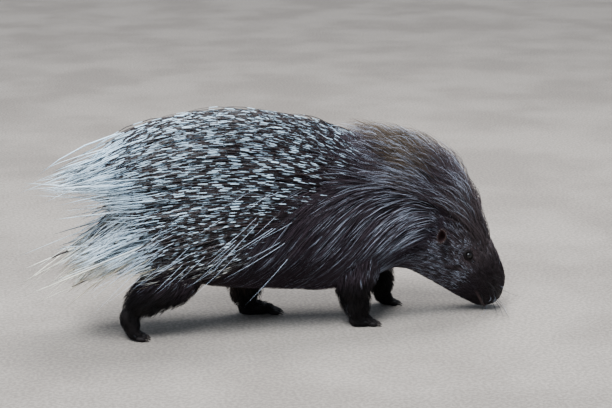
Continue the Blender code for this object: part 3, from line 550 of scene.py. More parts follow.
# strands: a piece of closed tapering hairs or quills of a few sides along paths, all made as whole
# arrays. Every point carries its place along, a random number, the root's colours and its distance from
# the tip.
def strands(name, slot, material, paths, widths, out, sides, uv, dice, tint, pale):
    count, rings = paths.shape[:2]
    ahead = unit(np.gradient(paths, axis=1))
    across = unit(np.cross(np.broadcast_to(out[:, None], paths.shape), ahead))
    over = np.cross(ahead, across)
    turns = fullTurn(sides)
    ring = (
        paths[:, :-1, None]
        + (over[:, :-1, None] * np.cos(turns)[:, None] + across[:, :-1, None] * np.sin(turns)[:, None])
        * widths[:, :-1, None, None] / 2
    )
    points = np.concatenate([ring.reshape(count, -1, 3), paths[:, -1:]], 1)
    size = points.shape[1]
    faces = []
    for i in range(rings - 2):
        for j in range(sides):
            a, b = i * sides + j, i * sides + (j + 1) % sides
            faces += [(a, b, b + sides), (a, b + sides, a + sides)]
    last = (rings - 2) * sides
    faces += [(last + j, last + (j + 1) % sides, size - 1) for j in range(sides)]
    faces += [(0, j + 1, j) for j in range(1, sides - 1)]
    faces = (np.arange(count) * size)[:, None, None] + np.array(faces)[None]
    made = makeMesh(name, points, faces.reshape(-1, 3), material)
    lengths = np.linalg.norm(np.diff(paths, axis=1), axis=-1)
    gone = np.concatenate([np.zeros((count, 1)), np.cumsum(lengths, 1)], 1)
    share = np.append(np.repeat(np.arange(rings - 1), sides), rings - 1)
    values = {
        "along": (gone / gone[:, -1:])[:, share],
        "far": (gone[:, -1:] - gone)[:, share],
        "dice": np.repeat(dice[:, None], size, 1),
        "pale": pale[:, share] if pale.ndim == 2 else np.repeat(pale[:, None], size, 1),
    }
    for key, value in values.items():
        layer = made.data.attributes.new(key, "FLOAT", "POINT")
        layer.data.foreach_set("value", value.astype(np.float32).ravel())
    writeTint(made, np.repeat(tint, size, 0))
    across = np.append(np.tile(np.arange(sides), rings - 1), 0)
    patch = np.stack([share / (rings - 1), across / (sides - 1)], -1)
    uvs = (uv[:, None] + 0.003 * (patch[None] - 0.5)).reshape(-1, 2)
    layer = made.data.uv_layers.new(name="OFBake")
    loops = np.empty(len(made.data.loops), np.int32)
    made.data.loops.foreach_get("vertex_index", loops)
    layer.data.foreach_set("uv", uvs[loops].astype(np.float32).ravel())
    finishPiece(made, slot)


# scatter: random places on a surface, as many per area as the weight says, up to a count.
def scatter(rng, surface, places, turns, count, weight=None):
    found = []
    total = 0
    while total < count:
        place = rng.uniform(*places, 4 * count)
        turn = rng.uniform(*turns, 4 * count)
        _, _, _, _, along, around = surfaceFrame(surface, place, turn)
        area = along * around * (1 if weight is None else weight(place, turn))
        keep = rng.uniform(0, 1, 4 * count) < area / area.max()
        found.append(np.stack([place[keep], turn[keep]], 1))
        total += keep.sum()
    return np.concatenate(found)[:count].T


# clumped: roots of hairs round clump middles, how far each is off its middle, and a tone for each clump.
def clumped(rng, surface, places, turns, clumps, each, spread, weight=None):
    middle = scatter(rng, surface, places, turns, clumps, weight)
    _, _, _, _, along, around = surfaceFrame(surface, *middle)
    angle = rng.uniform(0, 2 * math.pi, (clumps, each))
    away = spread * np.sqrt(rng.uniform(0, 1, (clumps, each)))
    offset = np.stack([away * np.cos(angle) / along[:, None], away * np.sin(angle) / around[:, None]])
    root = middle[:, :, None] + offset
    return root.reshape(2, -1), offset.reshape(2, -1), np.repeat(rng.uniform(0, 1, clumps), each)


# furPaths: hairs follow the surface the way given and rise from it, height = rise * (1 - (1 - u)^1.6 -
# arch * u^3), while the tips of a clump draw together by the pull.
def furPaths(surface, root, offset, length, rise, way, drift, rings, pull, limits, sunk=0.0012, arch=0.0):
    _, _, _, out, along, around = surfaceFrame(surface, *root)
    u = shares(rings)
    place = root[0][:, None] + way * u * (length / along)[:, None] - offset[0][:, None] * pull * u**1.5
    turn = root[1][:, None] + u * (drift * length / around)[:, None] - offset[1][:, None] * pull * u**1.5
    height = rise[:, None] * (1 - (1 - u) ** 1.6 - arch * u**3) - sunk * (1 - u) ** 4
    return surface(np.clip(place, *limits), turn, height), out


# thinWidths: thin quills taper to a point, width = 2 * radius * (1 - 0.9 * u^3), each a little its own.
def thinWidths(rng, radius, count, rings):
    return 2 * radius * rng.uniform(0.7, 1.2, (count, 1)) * (1 - 0.9 * shares(rings) ** 3)


# taperWidths: a hair is widest a quarter of the way up, width * (1 - 0.9 * u^1.6) above it.
def taperWidths(width, rings):
    u = shares(rings)
    return width[:, None] * (1 - u**1.6 * 0.9) * (0.6 + 0.4 * np.minimum(u * 4, 1))


trunkLimits = (0.0, trunkEnd - 0.02)


# roundUv: a root's place in a rectangle of the UV map, by its share along a limb and its turn.
def roundUv(share, turn, low=(0.02, 0.02), size=(0.96, 0.96)):
    return np.stack([low[0] + size[0] * share, low[1] + size[1] * (turn / (2 * math.pi) + 0.5)], -1)


def trunkUv(root):
    return roundUv(root[0] / trunkEnd, root[1], (0.01, 0.01), (0.98, 0.98))


# quillFront: the station where banded quills give way to bristles, by the turn from the back.
def quillFront(turn):
    return np.interp(np.degrees(abs(turn)), (0, 40, 60, 90, 115, 130), (7.7, 7.3, 6.8, 6.1, 5.4, 4.6))


# Banded quills of back and flanks. A pair of numbers is a range that a fade or a random draw covers.
quills = {
    "count": 9400, "stations": (0.05, 7.6), "turn": 132, "ragged": (-0.9, 0.3), "rings": 7, "sides": 4,
    # length by the root's x, its random share, and how far quills low in front of an x are shortened
    "x": (-0.286, -0.235, -0.170, -0.080, 0.020, 0.140),
    "length": (0.180, 0.235, 0.265, 0.255, 0.200, 0.110),
    "size": (0.72, 1.06), "shortUp": (-0.6, 0.3), "short": (0.50, 1.0), "shortX": -0.2,
    # how steeply they leave the skin, what the back adds, and the share that the rear takes off
    "lift": (0.05, 0.24), "liftBack": 0.14, "liftUp": (0.2, 1.0), "liftRear": 0.6, "rearX": (0.10, 0.26),
    # how far they stand off the back in front of the rear
    "raised": 0.026, "raisedX": (0.06, 0.18), "raisedUp": (0.0, 0.9), "raisedBy": (0.1, 1.1),
    # thinner in front and where they cross the gap between the bundles, stouter where they reach far back
    "radius": 0.00128, "radii": (0.5, 1.25), "thinX": (-0.2, 0.12), "thin": (1.0, 0.62), "gapThin": 0.45,
    "farStout": 0.25,
    # the two bundles the rear quills draw together in: x, z and how far the tips scatter in z; then the
    # heights of the roots between which quills turn to the upper one, and the shares of that between
    # which they do so at the rear, behind these x
    "upper": (-0.455, 0.276, 0.014), "lower": (-0.400, 0.140, 0.022),
    "part": (0.19, 0.31), "partRear": (0.42, 0.58), "behind": (0.06, 0.20),
    # quills follow the body in front and aim at a bundle behind; low ones in front fall more steeply
    "loose": (-0.10, 0.16), "fall": 0.36, "fallZ": (0.225, 0.150), "fallX": (-0.20, -0.02),
    # scatter of a root's height for its bundle, of the aim and the way, what the aim keeps of the root's y
    # and how far it drops for it, and how deep a root sits in the skin
    "parting": 0.012, "aimY": 0.010, "waver": 0.025, "keepY": 0.75, "dropY": 0.2, "sunk": 0.006,
    # where tips end, x = first - second * random^third, and the few that reach further
    "tipUpper": (-0.365, 0.116, 1.4), "tipLower": (-0.340, 0.082, 1.3),
    "lone": (0.02, 0.04), "loneX": -0.486, "loneSize": 1.35,
}


# quillPaths: a quill leaves low over the skin and bends down as much as it stood up, so that its chord
# aims at its bundle.
def quillPaths(rng, station, turn, size, lift):
    root, ahead, _, out, _, _ = surfaceFrame(trunkPoint, station, turn)
    count = len(station)
    high = fade(root[:, 2] + quills["parting"] * rng.normal(0, 1, count), *quills["part"])
    high = high + (fade(high, *quills["partRear"]) - high) * fade(-root[:, 0], *quills["behind"])
    (upX, upZ, upScatter), (lowX, lowZ, lowScatter) = quills["upper"], quills["lower"]
    y = root[:, 1] * quills["keepY"] + quills["aimY"] * rng.normal(0, 1, count)
    scatterZ = (lowScatter + (upScatter - lowScatter) * high) * rng.normal(0, 1, count)
    z = lowZ + (upZ - lowZ) * high + scatterZ - quills["dropY"] * abs(y)
    aim = np.stack([lowX + (upX - lowX) * high, y, z], -1)
    loose = fade(-root[:, 0], *quills["loose"])[:, None]
    waver = quills["waver"] * rng.normal(0, 1, (count, 3))
    chord = unit(unit(aim - root) * loose - ahead * (1 - loose) + waver)
    above, below = quills["fallZ"]
    chord[:, 2] -= quills["fall"] * fade(-root[:, 2], -above, -below) * fade(root[:, 0], *quills["fallX"])
    chord = unit(chord)
    start = rising(chord, out, lift)
    end = 2 * (chord * start).sum(-1, keepdims=True) * chord - start
    ends = quills["tipUpper"], quills["tipLower"]
    tips = [x - more * rng.uniform(0, 1, count) ** power for x, more, power in ends]
    lone = rng.uniform(0, 1, count) < np.where(high > 0.5, *quills["lone"])
    tipX = np.where(lone, quills["loneX"], np.where(high > 0.5, *tips))
    size = size * np.where(lone, quills["loneSize"], 1.0)
    reach = 2 * (root[:, 0] - tipX) / np.maximum(-(start + end)[:, 0], 0.5)
    length = np.minimum(np.interp(root[:, 0], quills["x"], quills["length"]) * size, reach)
    path = bentPaths(root, length, start, end, quills["rings"])
    path[:, 0] -= out * quills["sunk"]
    keepAbove(path, 0.004)
    return path, out


# The gap between the bundles: its level is z less a share of |y|. So many of the quills that end in it
# are cut short at an x, and so many are left out that cross it behind an x or reach far back.
rearGap = {
    "slope": 0.24, "floor": (0.170, 0.190), "roof": (0.265, 0.285), "cut": 0.50, "cutX": (0.295, 0.375),
    "least": 0.25, "behindX": (0.305, 0.350), "farX": (0.31, 0.35), "crossing": 0.88, "far": 0.48,
}


# openGap: the paths after the cut, each quill's shares of crossing the gap and reaching far back, and
# which quills stay.
def openGap(rng, path):
    count = len(path)
    level = path[:, :, 2] - rearGap["slope"] * abs(path[:, :, 1])
    between = fade(level, *rearGap["floor"]) * (1 - fade(level, *rearGap["roof"]))
    begin, tip = path[:, 0, 0], path[:, -1, 0]
    share = (begin + rng.uniform(*rearGap["cutX"], count)) / np.maximum(begin - tip, 0.01)
    cut = rng.uniform(0, 1, count) < rearGap["cut"] * between[:, -1]
    share = np.where(cut, np.clip(share, rearGap["least"], 1), 1)[:, None, None]
    path = path[:, :1] + (path - path[:, :1]) * share
    gap = (between * fade(-path[..., 0], *rearGap["behindX"])).max(1)
    far = fade(-path[:, -1, 0], *rearGap["farX"])
    stay = rng.uniform(0, 1, count) > np.maximum(rearGap["crossing"] * gap, rearGap["far"] * far)
    return path, gap, far, stay


quillTones = {
    # the edge of the all-white rear: z and x, its random shift, and the width of the change
    "edgeZ": (0.100, 0.215, 0.240, 0.280, 0.310, 0.330, 0.350, 0.395, 0.420),
    "edgeX": (-0.235, -0.255, -0.285, -0.272, -0.290, -0.318, -0.300, -0.270, -0.232),
    "jitter": 0.012, "change": (-0.010, 0.016),
    # tips with z under these belong to the low rear; behind these x the back is whiter
    "low": (0.16, 0.10), "back": (0.10, 0.24),
    # how dark the bands are, by x, and darker still towards the belly
    "paleX": (-0.05, 0.09), "pale": (-0.52, -0.74), "belly": 0.38, "bellyUp": (-0.30, 0.1),
    # a share of the rear quills, more of them low, are white at the tip alone
    "tipped": 0.20, "tippedLow": 0.16, "plain": 2.4, "tipStart": 0.1, "tipMore": 2.3, "tip": (0.6, 0.8),
    # white, tinted blue as painted sky light, what the back adds, and the yellowish white of the low rear
    "white": (0.64, 0.84, 1.00), "whiteBack": (0.12, 0.06, 0.0), "whiteLow": (0.82, 0.72, 0.52),
    "lowBy": 0.7,
    # the share of quills darkened as painted shade inside the bundles, more at the back and low, none past an
    # x; how dark, and how the others vary
    "paintedShade": 0.12, "paintedShadeBack": 0.28, "paintedShadeLow": 0.26, "paintedShadeX": (-0.445, -0.420), "paintedShadeBy": 0.84, "varyBy": 0.34,
}


# quillColours: each quill's white and, along it, how pale it is, which moves the edge of its bands.
def quillColours(rng, path, x, up):
    tones = quillTones
    each = (len(x), 1)
    edge = np.interp(path[..., 2], tones["edgeZ"], tones["edgeX"])
    jitter = tones["jitter"] * rng.normal(0, 1, each)
    above, below = tones["low"]
    low = fade(-path[:, -1, 2], -above, -below)[:, None]
    back = fade(-x, *tones["back"])[:, None]
    tipped = tones["tipStart"] + tones["tipMore"] * fade(shares(quills["rings"]), *tones["tip"])
    chance = tones["tipped"] + tones["tippedLow"] * low
    full = np.where(rng.uniform(0, 1, each) < chance, tipped, tones["plain"])
    pale = np.interp(x, tones["paleX"], tones["pale"]) - tones["belly"] * fade(-up, *tones["bellyUp"])
    pale = pale[:, None] + full * fade(edge - path[..., 0] + jitter, *tones["change"])
    white = np.array(tones["white"]) + back * np.array(tones["whiteBack"])
    # A share of quills is darkened as painted shade of the bundles' insides; the rest vary at random.
    inside = fade(path[:, -1:, 0], *tones["paintedShadeX"])
    paintedShade = rng.uniform(0, 1, each) < (tones["paintedShade"] + tones["paintedShadeBack"] * back + tones["paintedShadeLow"] * low) * inside
    white = white * (1 - np.where(paintedShade, tones["paintedShadeBy"], tones["varyBy"] * rng.uniform(0, 1, each) ** 1.5))
    return white + (np.array(tones["whiteLow"]) - white) * low * tones["lowBy"], pale


def makeQuills():
    rng = np.random.default_rng(11)
    top = math.radians(quills["turn"])
    u = shares(quills["rings"])
    for word, turns in (("right", (-top, 0)), ("left", (0, top))):
        station, turn = scatter(rng, trunkPoint, quills["stations"], turns, quills["count"] // 2)
        keep = station < quillFront(turn) + rng.uniform(*quills["ragged"], len(station))
        station, turn = station[keep], turn[keep]
        x = trunkPoint(station, turn)[:, 0]
        up = np.cos(turn)
        short = np.interp(up, quills["shortUp"], quills["short"])
        size = np.where(x > quills["shortX"], short, 1.0) * rng.uniform(*quills["size"], len(x))
        lift = rng.uniform(*quills["lift"], len(x)) + quills["liftBack"] * fade(up, *quills["liftUp"])
        lift = lift * (1 - quills["liftRear"] * fade(-x, *quills["rearX"]))
        path, out = quillPaths(rng, station, turn, size, lift)
        raised = quills["raised"] * fade(up, *quills["raisedUp"]) * (1 - fade(-x, *quills["raisedX"]))
        raised = (raised * rng.uniform(*quills["raisedBy"], len(x)))[:, None]
        path += out[:, None] * (raised * (1 - (1 - u) ** 3))[..., None]
        path, gap, far, stay = openGap(rng, path)
        kept = (station, turn, x, up, path, out, gap, far)
        station, turn, x, up, path, out, gap, far = (a[stay] for a in kept)
        radius = quills["radius"] * rng.uniform(*quills["radii"], len(x))
        radius = radius * np.interp(x, quills["thinX"], quills["thin"]) * (1 - quills["gapThin"] * gap)
        radius = radius * (1 + quills["farStout"] * far)
        widths = 2 * radius[:, None] * np.minimum(1, 0.6 + 3 * u) * (1 - 0.92 * u**4)
        white, pale = quillColours(rng, path, x, up)
        strands("quills_" + word, "quills", quillLook, path, widths, out, quills["sides"],
                trunkUv((station, turn)), rng.uniform(0, 1, len(x)), white, pale)


makeQuills()


# Flank quills: long thin white ones that hang back and down over the dark lower flank and thigh, fewer
# towards the front. One that would stand wider than "wide" is pressed in towards its root.
flankQuills = {
    "each": 84, "stations": (1.4, 6.2), "turns": (50, 112), "front": (2.8, 4.6), "fewer": 0.75,
    "length": (0.12, 0.21), "radius": 0.00034, "fall": (0.35, 0.95), "lift": (0.22, 0.40), "rings": 9,
    # Their white is tinted blue as painted sky light.
    "reach": -0.38, "wide": 0.150, "white": (0.62, 0.74, 0.90),
    "dark": -1.3, "paler": 2.6, "from": (0.30, 0.55),  # dark at the root and white from these shares on
}


def makeFlankQuills():
    rng = np.random.default_rng(13)
    flank = flankQuills
    u = shares(flank["rings"])
    for word, side in bothSides[::-1]:
        turns = sorted(side * t for t in np.radians(flank["turns"]))
        station, turn = scatter(rng, trunkPoint, flank["stations"], turns, flank["each"],
                                lambda station, turn: 1 - flank["fewer"] * fade(station, *flank["front"]))
        count = len(station)
        root, _, _, out, _, _ = surfaceFrame(trunkPoint, station, turn)
        fall = rng.uniform(*flank["fall"], count)
        hang = unit(np.stack([-np.ones(count), side * 0.05 * rng.normal(0, 1, count), -fall], -1))
        start = rising(hang, out, rng.uniform(*flank["lift"], count))
        length = np.minimum(rng.uniform(*flank["length"], count), (root[:, 0] - flank["reach"]) * 1.2)
        path = bentPaths(root, length, start, hang, flank["rings"])
        path[:, 0] -= out * 0.004
        keepAbove(path, 0.004)
        rootY = abs(path[:, 0, 1])
        room = (flank["wide"] - rootY) / np.maximum(abs(path[..., 1]).max(1) - rootY, 0.001)
        path[..., 1] = path[:, :1, 1] + (path[..., 1] - path[:, :1, 1]) * np.clip(room, 0, 1)[:, None]
        widths = thinWidths(rng, flank["radius"], count, flank["rings"])
        pale = flank["dark"] + flank["paler"] * fade(u + 0.12 * rng.normal(0, 1, (count, 1)), *flank["from"])
        strands("flankQuills_" + word, "quills", quillLook, path, widths, out, 3, trunkUv((station, turn)),
                rng.uniform(0, 1, count), np.full((count, 3), flank["white"]), pale)


makeFlankQuills()


# Coats of the trunk: stations, turns in degrees, clumps a side, hairs each, clump spread, length, rise
# of the tips on the side and over the back, width, points along a hair, drift down the flank, pull of a
# clump's tips, the least share of the rise, and the arch that lowers the tips. Length and rises are
# given at even steps from the first station to the last.
trunkCoats = {
    "bristles": {
        "stations": (4.2, 9.9), "turns": (0, 150), "clumps": 1000, "each": 8, "spread": 0.013,
        "length": (0.090, 0.064), "side": (0.017, 0.015), "over": (0.026, 0.040), "width": 0.0010,
        "rings": 5, "drift": 1.25, "pull": 0.30, "least": 0.45, "arch": 0.08, "slot": "bristles",
    },
    "crest": {
        "stations": (8.2, 12.2), "turns": (0, 52), "clumps": 420, "each": 6, "spread": 0.009,
        "length": (0.105, 0.080), "side": (0.020, 0.016), "over": (0.066, 0.090, 0.100, 0.066, 0.024),
        "width": 0.0011,
        "rings": 7, "drift": 0.0, "pull": 0.75, "least": 0.62, "arch": 0.30, "slot": "bristles",
    },
    "headFur": {
        "stations": (9.7, 15.85), "turns": (0, 180), "clumps": 1500, "each": 7, "spread": 0.007,
        "length": (0.034, 0.020, 0.012, 0.0045), "side": (0.008, 0.005, 0.0030, 0.0010),
        "over": (0.010, 0.006, 0.0035, 0.0012), "width": 0.00065,
        "rings": 4, "drift": 0.15, "pull": 0.5, "least": 0.45, "arch": 0.0, "slot": "head_fur",
    },
    "bellyFur": {
        "stations": (0.6, 9.9), "turns": (118, 180), "clumps": 360, "each": 8, "spread": 0.010,
        "length": (0.036, 0.030), "side": (0.009, 0.007), "over": (0.009, 0.007), "width": 0.0010,
        "rings": 4, "drift": 0.0, "pull": 0.5, "least": 0.45, "arch": 0.0, "slot": "bristles",
    },
}
# Hairs near an eye: so far from it they are shortest and full again, their shortest share, how near it a
# hair may come, and how much denser they stand there.
nearEye = {"short": (0.007, 0.038), "least": 0.22, "clear": 0.0064, "dense": (0.012, 0.040), "denser": 1.5}
# Hairs sway from the coat's way at random and in a wave along and round the trunk, and the clump gives
# this share of a hair's own tone.
sway = {"random": 0.09, "wave": 0.04, "along": 3.1, "round": 5}
clumpTone = 0.28
# Where the drift down the flank sets in by the turn, and where it fades by the station, by how much.
driftTurn, driftStation, driftLess = (0.75, 1.45), (8.2, 9.9), 0.4


# fromEye: distance from the eye on the points' own side.
def fromEye(points, side, out=0.0):
    return np.linalg.norm(points * (1, side, 1) - eyePlace(1, out)[0], axis=-1)


def coatWeight(name):
    def weight(station, turn):
        if name == "bristles":
            return fade(station - quillFront(turn), -1.2, 0.2)
        if name == "crest":
            return 1 - 0.6 * fade(station, 11, 12)
        if name == "headFur":
            away = fromEye(trunkPoint(station, abs(turn)), 1)
            return 1 + nearEye["denser"] * (1 - fade(away, *nearEye["dense"]))
        return 1 + 0 * station
    return weight


def makeTrunkCoats():
    rng = np.random.default_rng(23)
    for name, coat in trunkCoats.items():
        for word, side in bothSides[::-1]:
            first, last = np.radians(coat["turns"])
            turns = (first, last) if side > 0 else (-last, -first)
            root, offset, tone = clumped(rng, trunkPoint, coat["stations"], turns, coat["clumps"],
                                         coat["each"], coat["spread"], coatWeight(name))
            root[0] = np.clip(root[0], 0.02, trunkEnd - 0.03)
            count = root.shape[1]
            share = (root[0] - coat["stations"][0]) / (coat["stations"][1] - coat["stations"][0])

            def given(key):
                return np.interp(share, np.linspace(0, 1, len(coat[key])), coat[key])

            up = np.clip(np.cos(root[1]), 0, 1) ** 3
            length = given("length") * rng.uniform(0.7, 1.15, count)
            rise = given("side") + (given("over") - given("side")) * up
            rise = rise * rng.uniform(coat["least"], 1.05, count)
            drift = coat["drift"] * side * fade(abs(root[1]), *driftTurn)
            drift = drift * (1 - driftLess * fade(root[0], *driftStation))
            drift = drift + sway["random"] * rng.normal(0, 1, count)
            drift = drift + sway["wave"] * np.sin(sway["along"] * root[0] + sway["round"] * root[1])
            here = trunkPoint(*root)
            near = nearEye["least"] + (1 - nearEye["least"]) * fade(fromEye(here, side), *nearEye["short"])
            length, rise = length * near, rise * near
            path, out = furPaths(trunkPoint, root, offset, length, rise, -1, drift, coat["rings"],
                                 coat["pull"], trunkLimits, arch=coat["arch"])
            clear = fromEye(path, side, 0.002).min(1) > nearEye["clear"]
            tint, pale = markings(here)
            dice = np.clip((1 - clumpTone) * rng.uniform(0, 1, count) + clumpTone * tone, 0, 1)
            widths = taperWidths(coat["width"] * rng.uniform(0.7, 1.25, count), coat["rings"])
            strands(name + "_" + word, coat["slot"], furLook, path[clear], widths[clear], out[clear], 3,
                    trunkUv(root)[clear], dice[clear], tint[clear], pale[clear])


makeTrunkCoats()


# Fur of legs and feet: clumps on each, hairs each, clump spread, length, rise, width, and how far from
# the first and the last row the roots begin and end. The second table holds for both.
limbCoats = {
    "leg": {"clumps": 370, "each": 7, "spread": 0.009, "length": 0.028, "rise": 0.0085, "width": 0.0011,
            "ends": (0.6, 0.1)},
    "sole": {"clumps": 215, "each": 6, "spread": 0.004, "length": 0.013, "rise": 0.0040, "width": 0.0008,
             "ends": (0.03, 0.4)},
}
limbFur = {"rings": 4, "pull": 0.5, "drift": 0.1, "sunk": 0.0008, "clumpTone": 0.4, "leastZ": 0.003}


def makeLimbFur():
    rng = np.random.default_rng(31)
    everything = []
    for number, (side, rows, sole, *_) in enumerate(legTable.values()):
        for part, (key, table) in enumerate((("leg", rows), ("sole", sole))):
            coat = limbCoats[key]
            base = limbSurface(mirroredRows(table, side))

            def surface(place, turn, more=0.0):
                return base(place, turn, more - furDepth)

            end = len(table) - 1
            first, last = coat["ends"]
            root, offset, tone = clumped(rng, surface, (first, end - last), (-math.pi, math.pi),
                                         coat["clumps"], coat["each"], coat["spread"])
            count = root.shape[1]
            length = coat["length"] * rng.uniform(0.7, 1.2, count)
            rise = coat["rise"] * rng.uniform(0.5, 1.3, count)
            drift = limbFur["drift"] * rng.normal(0, 1, count)
            path, out = furPaths(surface, root, offset, length, rise, 1, drift, limbFur["rings"],
                                 limbFur["pull"], (0, end), limbFur["sunk"])
            keepAbove(path, 0.0008)
            seen = surface(*root)[:, 2] > limbFur["leastZ"]
            uv = roundUv(root[0] / end, root[1], (0.02 + 0.23 * number, 0.02 + 0.5 * part), (0.21, 0.45))
            tint, pale = markings(surface(*root))
            widths = taperWidths(coat["width"] * rng.uniform(0.7, 1.25, count), limbFur["rings"])
            dice = (1 - limbFur["clumpTone"]) * rng.uniform(0, 1, count) + limbFur["clumpTone"] * tone
            everything.append([a[seen] for a in (path, widths, out, uv, dice, tint, pale)])
    for word, some in (("hind", everything[:4]), ("fore", everything[4:])):
        path, widths, out, uv, dice, tint, pale = (np.concatenate(a) for a in zip(*some))
        strands("limbFur_" + word, "leg_fur", furLook, path, widths, out, 3, uv, dice, tint, pale)


makeLimbFur()


# Tail quills: pale quills round the tail that spread a little towards their tips.
tailQuills = {
    "count": 130, "places": (0.6, 2.9), "turns": (-2.2, 2.2), "length": 0.062, "radius": 0.0014,
    "spread": 0.30, "rings": 7, "white": (0.78, 0.78, 0.70), "pale": (0.6, 1.6),
    "sunk": 0.004, "lean": 0.12, "waver": 0.06,
}


def makeTailQuills():
    rng = np.random.default_rng(41)
    count = tailQuills["count"]
    surface = limbSurface(tailRows)
    place, turn = rng.uniform(*tailQuills["places"], count), rng.uniform(*tailQuills["turns"], count)
    root, ahead, _, out, _, _ = surfaceFrame(surface, place, turn)
    root = root - out * tailQuills["sunk"]
    start = unit(ahead + out * (tailQuills["spread"] * rng.uniform(0.4, 1.3, count))[:, None])
    end = unit(ahead + out * tailQuills["lean"] + tailQuills["waver"] * rng.normal(0, 1, (count, 3)))
    length = tailQuills["length"] * rng.uniform(0.7, 1.1, count)
    path = bentPaths(root, length, start, end, tailQuills["rings"])
    widths = thinWidths(rng, tailQuills["radius"], count, tailQuills["rings"])
    uv = roundUv(place / (len(tailRows) - 1), turn)
    strands("tailQuills", "quills", quillLook, path, widths, out, 4, uv, rng.uniform(0, 1, count),
            np.full((count, 3), tailQuills["white"]), rng.uniform(*tailQuills["pale"], count))


makeTailQuills()


# Whiskers: stiff hairs from the muzzle that curve back and down.
whiskers = {
    "each": 24, "stations": (13.4, 15.3), "turns": (62, 118), "length": 0.085, "width": 0.0008, "rings": 8,
    "tint": 0.02, "forward": 0.15, "outEnd": 0.5, "backEnd": 0.9, "fallEnd": 0.5,
}


def makeWhiskers():
    rng = np.random.default_rng(43)
    count = 2 * whiskers["each"]
    side = np.repeat((-1, 1), whiskers["each"])
    station = rng.uniform(*whiskers["stations"], count)
    turn = side * np.radians(rng.uniform(*whiskers["turns"], count))
    root, ahead, _, out, _, _ = surfaceFrame(trunkPoint, station, turn)
    length = whiskers["length"] * rng.uniform(0.5, 1.1, count)
    start = unit(out + whiskers["forward"] * ahead)
    fall = np.array((0, 0, -whiskers["fallEnd"]))
    end = unit(out * whiskers["outEnd"] - whiskers["backEnd"] * ahead + fall)
    path = bentPaths(root, length, start, end, whiskers["rings"])
    keepAbove(path, 0.003)
    widths = whiskers["width"] * (1 - 0.8 * shares(whiskers["rings"])) * np.ones((count, 1))
    strands("whiskers", "head_fur", furLook, path, widths, ahead, 3, trunkUv((station, turn)),
            rng.uniform(0, 1, count), np.full((count, 3), whiskers["tint"]), np.full(count, 0.3))


makeWhiskers()


# sphereGrid: rings of a unit ball from pole to pole along its third way.
def sphereGrid(rings, sides):
    polar = np.linspace(0.02, math.pi - 0.02, rings)[:, None]
    turns = fullTurn(sides)
    flat = np.sin(polar)
    return np.stack([flat * np.cos(turns), flat * np.sin(turns), np.cos(polar) + 0 * turns], -1)


def makeEyes():
    for word, side in bothSides:
        centre, ways = eyePlace(side, -eye["depth"])
        ball = centre + eye["radius"] * sphereGrid(32, 48) @ np.array(ways)
        finishPiece(shell("eye_ball_" + word, ball, eyeLook), "eye", "eye_" + word)


makeEyes()


# Lids: a ring round the eyeball. Its profile goes from under the skin up over a fold to the rim, which
# lies on the eyeball, and back under it. It is longer towards the corners of the eye.
lids = {
    "profile": ((0.0140, -0.0080), (0.0122, -0.0042), (0.0104, -0.0010), (0.0091, 0.0008), (0.0082, 0.0014),
                (0.0077, 0.0014), (0.0073, 0.0017), (0.0069, 0.0020), (0.0065, 0.0019), (0.0062, 0.0013),
                (0.0062, 0.0002), (0.0067, -0.0030), (0.0110, -0.0080)),
    "almond": 0.24, "lower": 0.06, "sides": 64, "steps": 4,
}


def makeLids():
    profile = curveThrough(lids["profile"], lids["steps"])
    turns = fullTurn(lids["sides"])
    for word, side in bothSides:
        centre, ways = eyePlace(side, -eye["depth"])
        stretch = 1 + lids["almond"] * np.cos(turns) ** 4 - lids["lower"] * np.sin(turns) ** 2
        radius = profile[:, :1] * stretch
        local = np.stack([radius * np.cos(turns), radius * np.sin(turns), profile[:, 1:] + 0 * turns], -1)
        rings = centre + local @ np.array(ways)
        points = rings.reshape(-1, 3)
        quads = outward(points, ringQuads(*rings.shape[:2], looped=True))
        finishPiece(makeMesh("lids_" + word, points, quads, lidLook), "skin")


makeLids()


# Ears: a cup with a slanted rim; rings run up the outside, over the rim and down the inside.
ears = {
    "station": 10.12, "turn": math.radians(81), "lean": (-0.75, 0, 0.45), "front": (1, 0.45, -0.15),
    "slant": 0.40, "flat": 0.55, "sides": 64, "wave": 0.06, "waveFrom": (0.006, 0.02),
    "profile": ((-0.018, 0.0065), (0.000, 0.0085), (0.010, 0.0115), (0.019, 0.0130), (0.0262, 0.0122),
                (0.0272, 0.0114), (0.0258, 0.0108), (0.0190, 0.0114), (0.011, 0.0092), (0.005, 0.0048),
                (0.002, 0.0010)),
}


# earSurface: the ear's cup as a function of the place along its profile, the turn and the height above.
def earSurface(side):
    here, _, _, out, _, _ = surfaceFrame(corePoint, ears["station"], side * ears["turn"], 0.03)
    rise = unit(out + np.array(ears["lean"]))
    front = np.array(ears["front"]) * (1, side, 1)
    front = unit(front - front.dot(rise) * rise)
    breadth = np.cross(rise, front)
    steps = 5
    fine = curveThrough(ears["profile"], steps)
    places = np.arange(len(fine)) / steps

    def point(place, turn, more=0.0):
        place, turn = np.broadcast_arrays(np.asarray(place, float), turn)
        tall = np.interp(place, places, fine[:, 0]) * (1 - ears["slant"] * (1 + np.cos(turn)) / 2)
        radius = np.interp(place, places, fine[:, 1])
        radius = radius * (1 + ears["wave"] * np.cos(3 * turn) * fade(tall, *ears["waveFrom"])) + more
        return (
            here + tall[..., None] * rise
            + (radius * ears["flat"] * np.cos(turn))[..., None] * front
            + (radius * np.sin(turn))[..., None] * breadth
        )

    return point


earFur = {
    "places": (1.0, 4.2), "clumps": 150, "each": 5, "spread": 0.002, "length": 0.010, "rise": 0.0035,
    "width": 0.0006, "tint": (0.050, 0.032, 0.026), "drift": 0.3, "pull": 0.3, "rings": 4, "last": 4.9,
    "sunk": 0.0006,
}


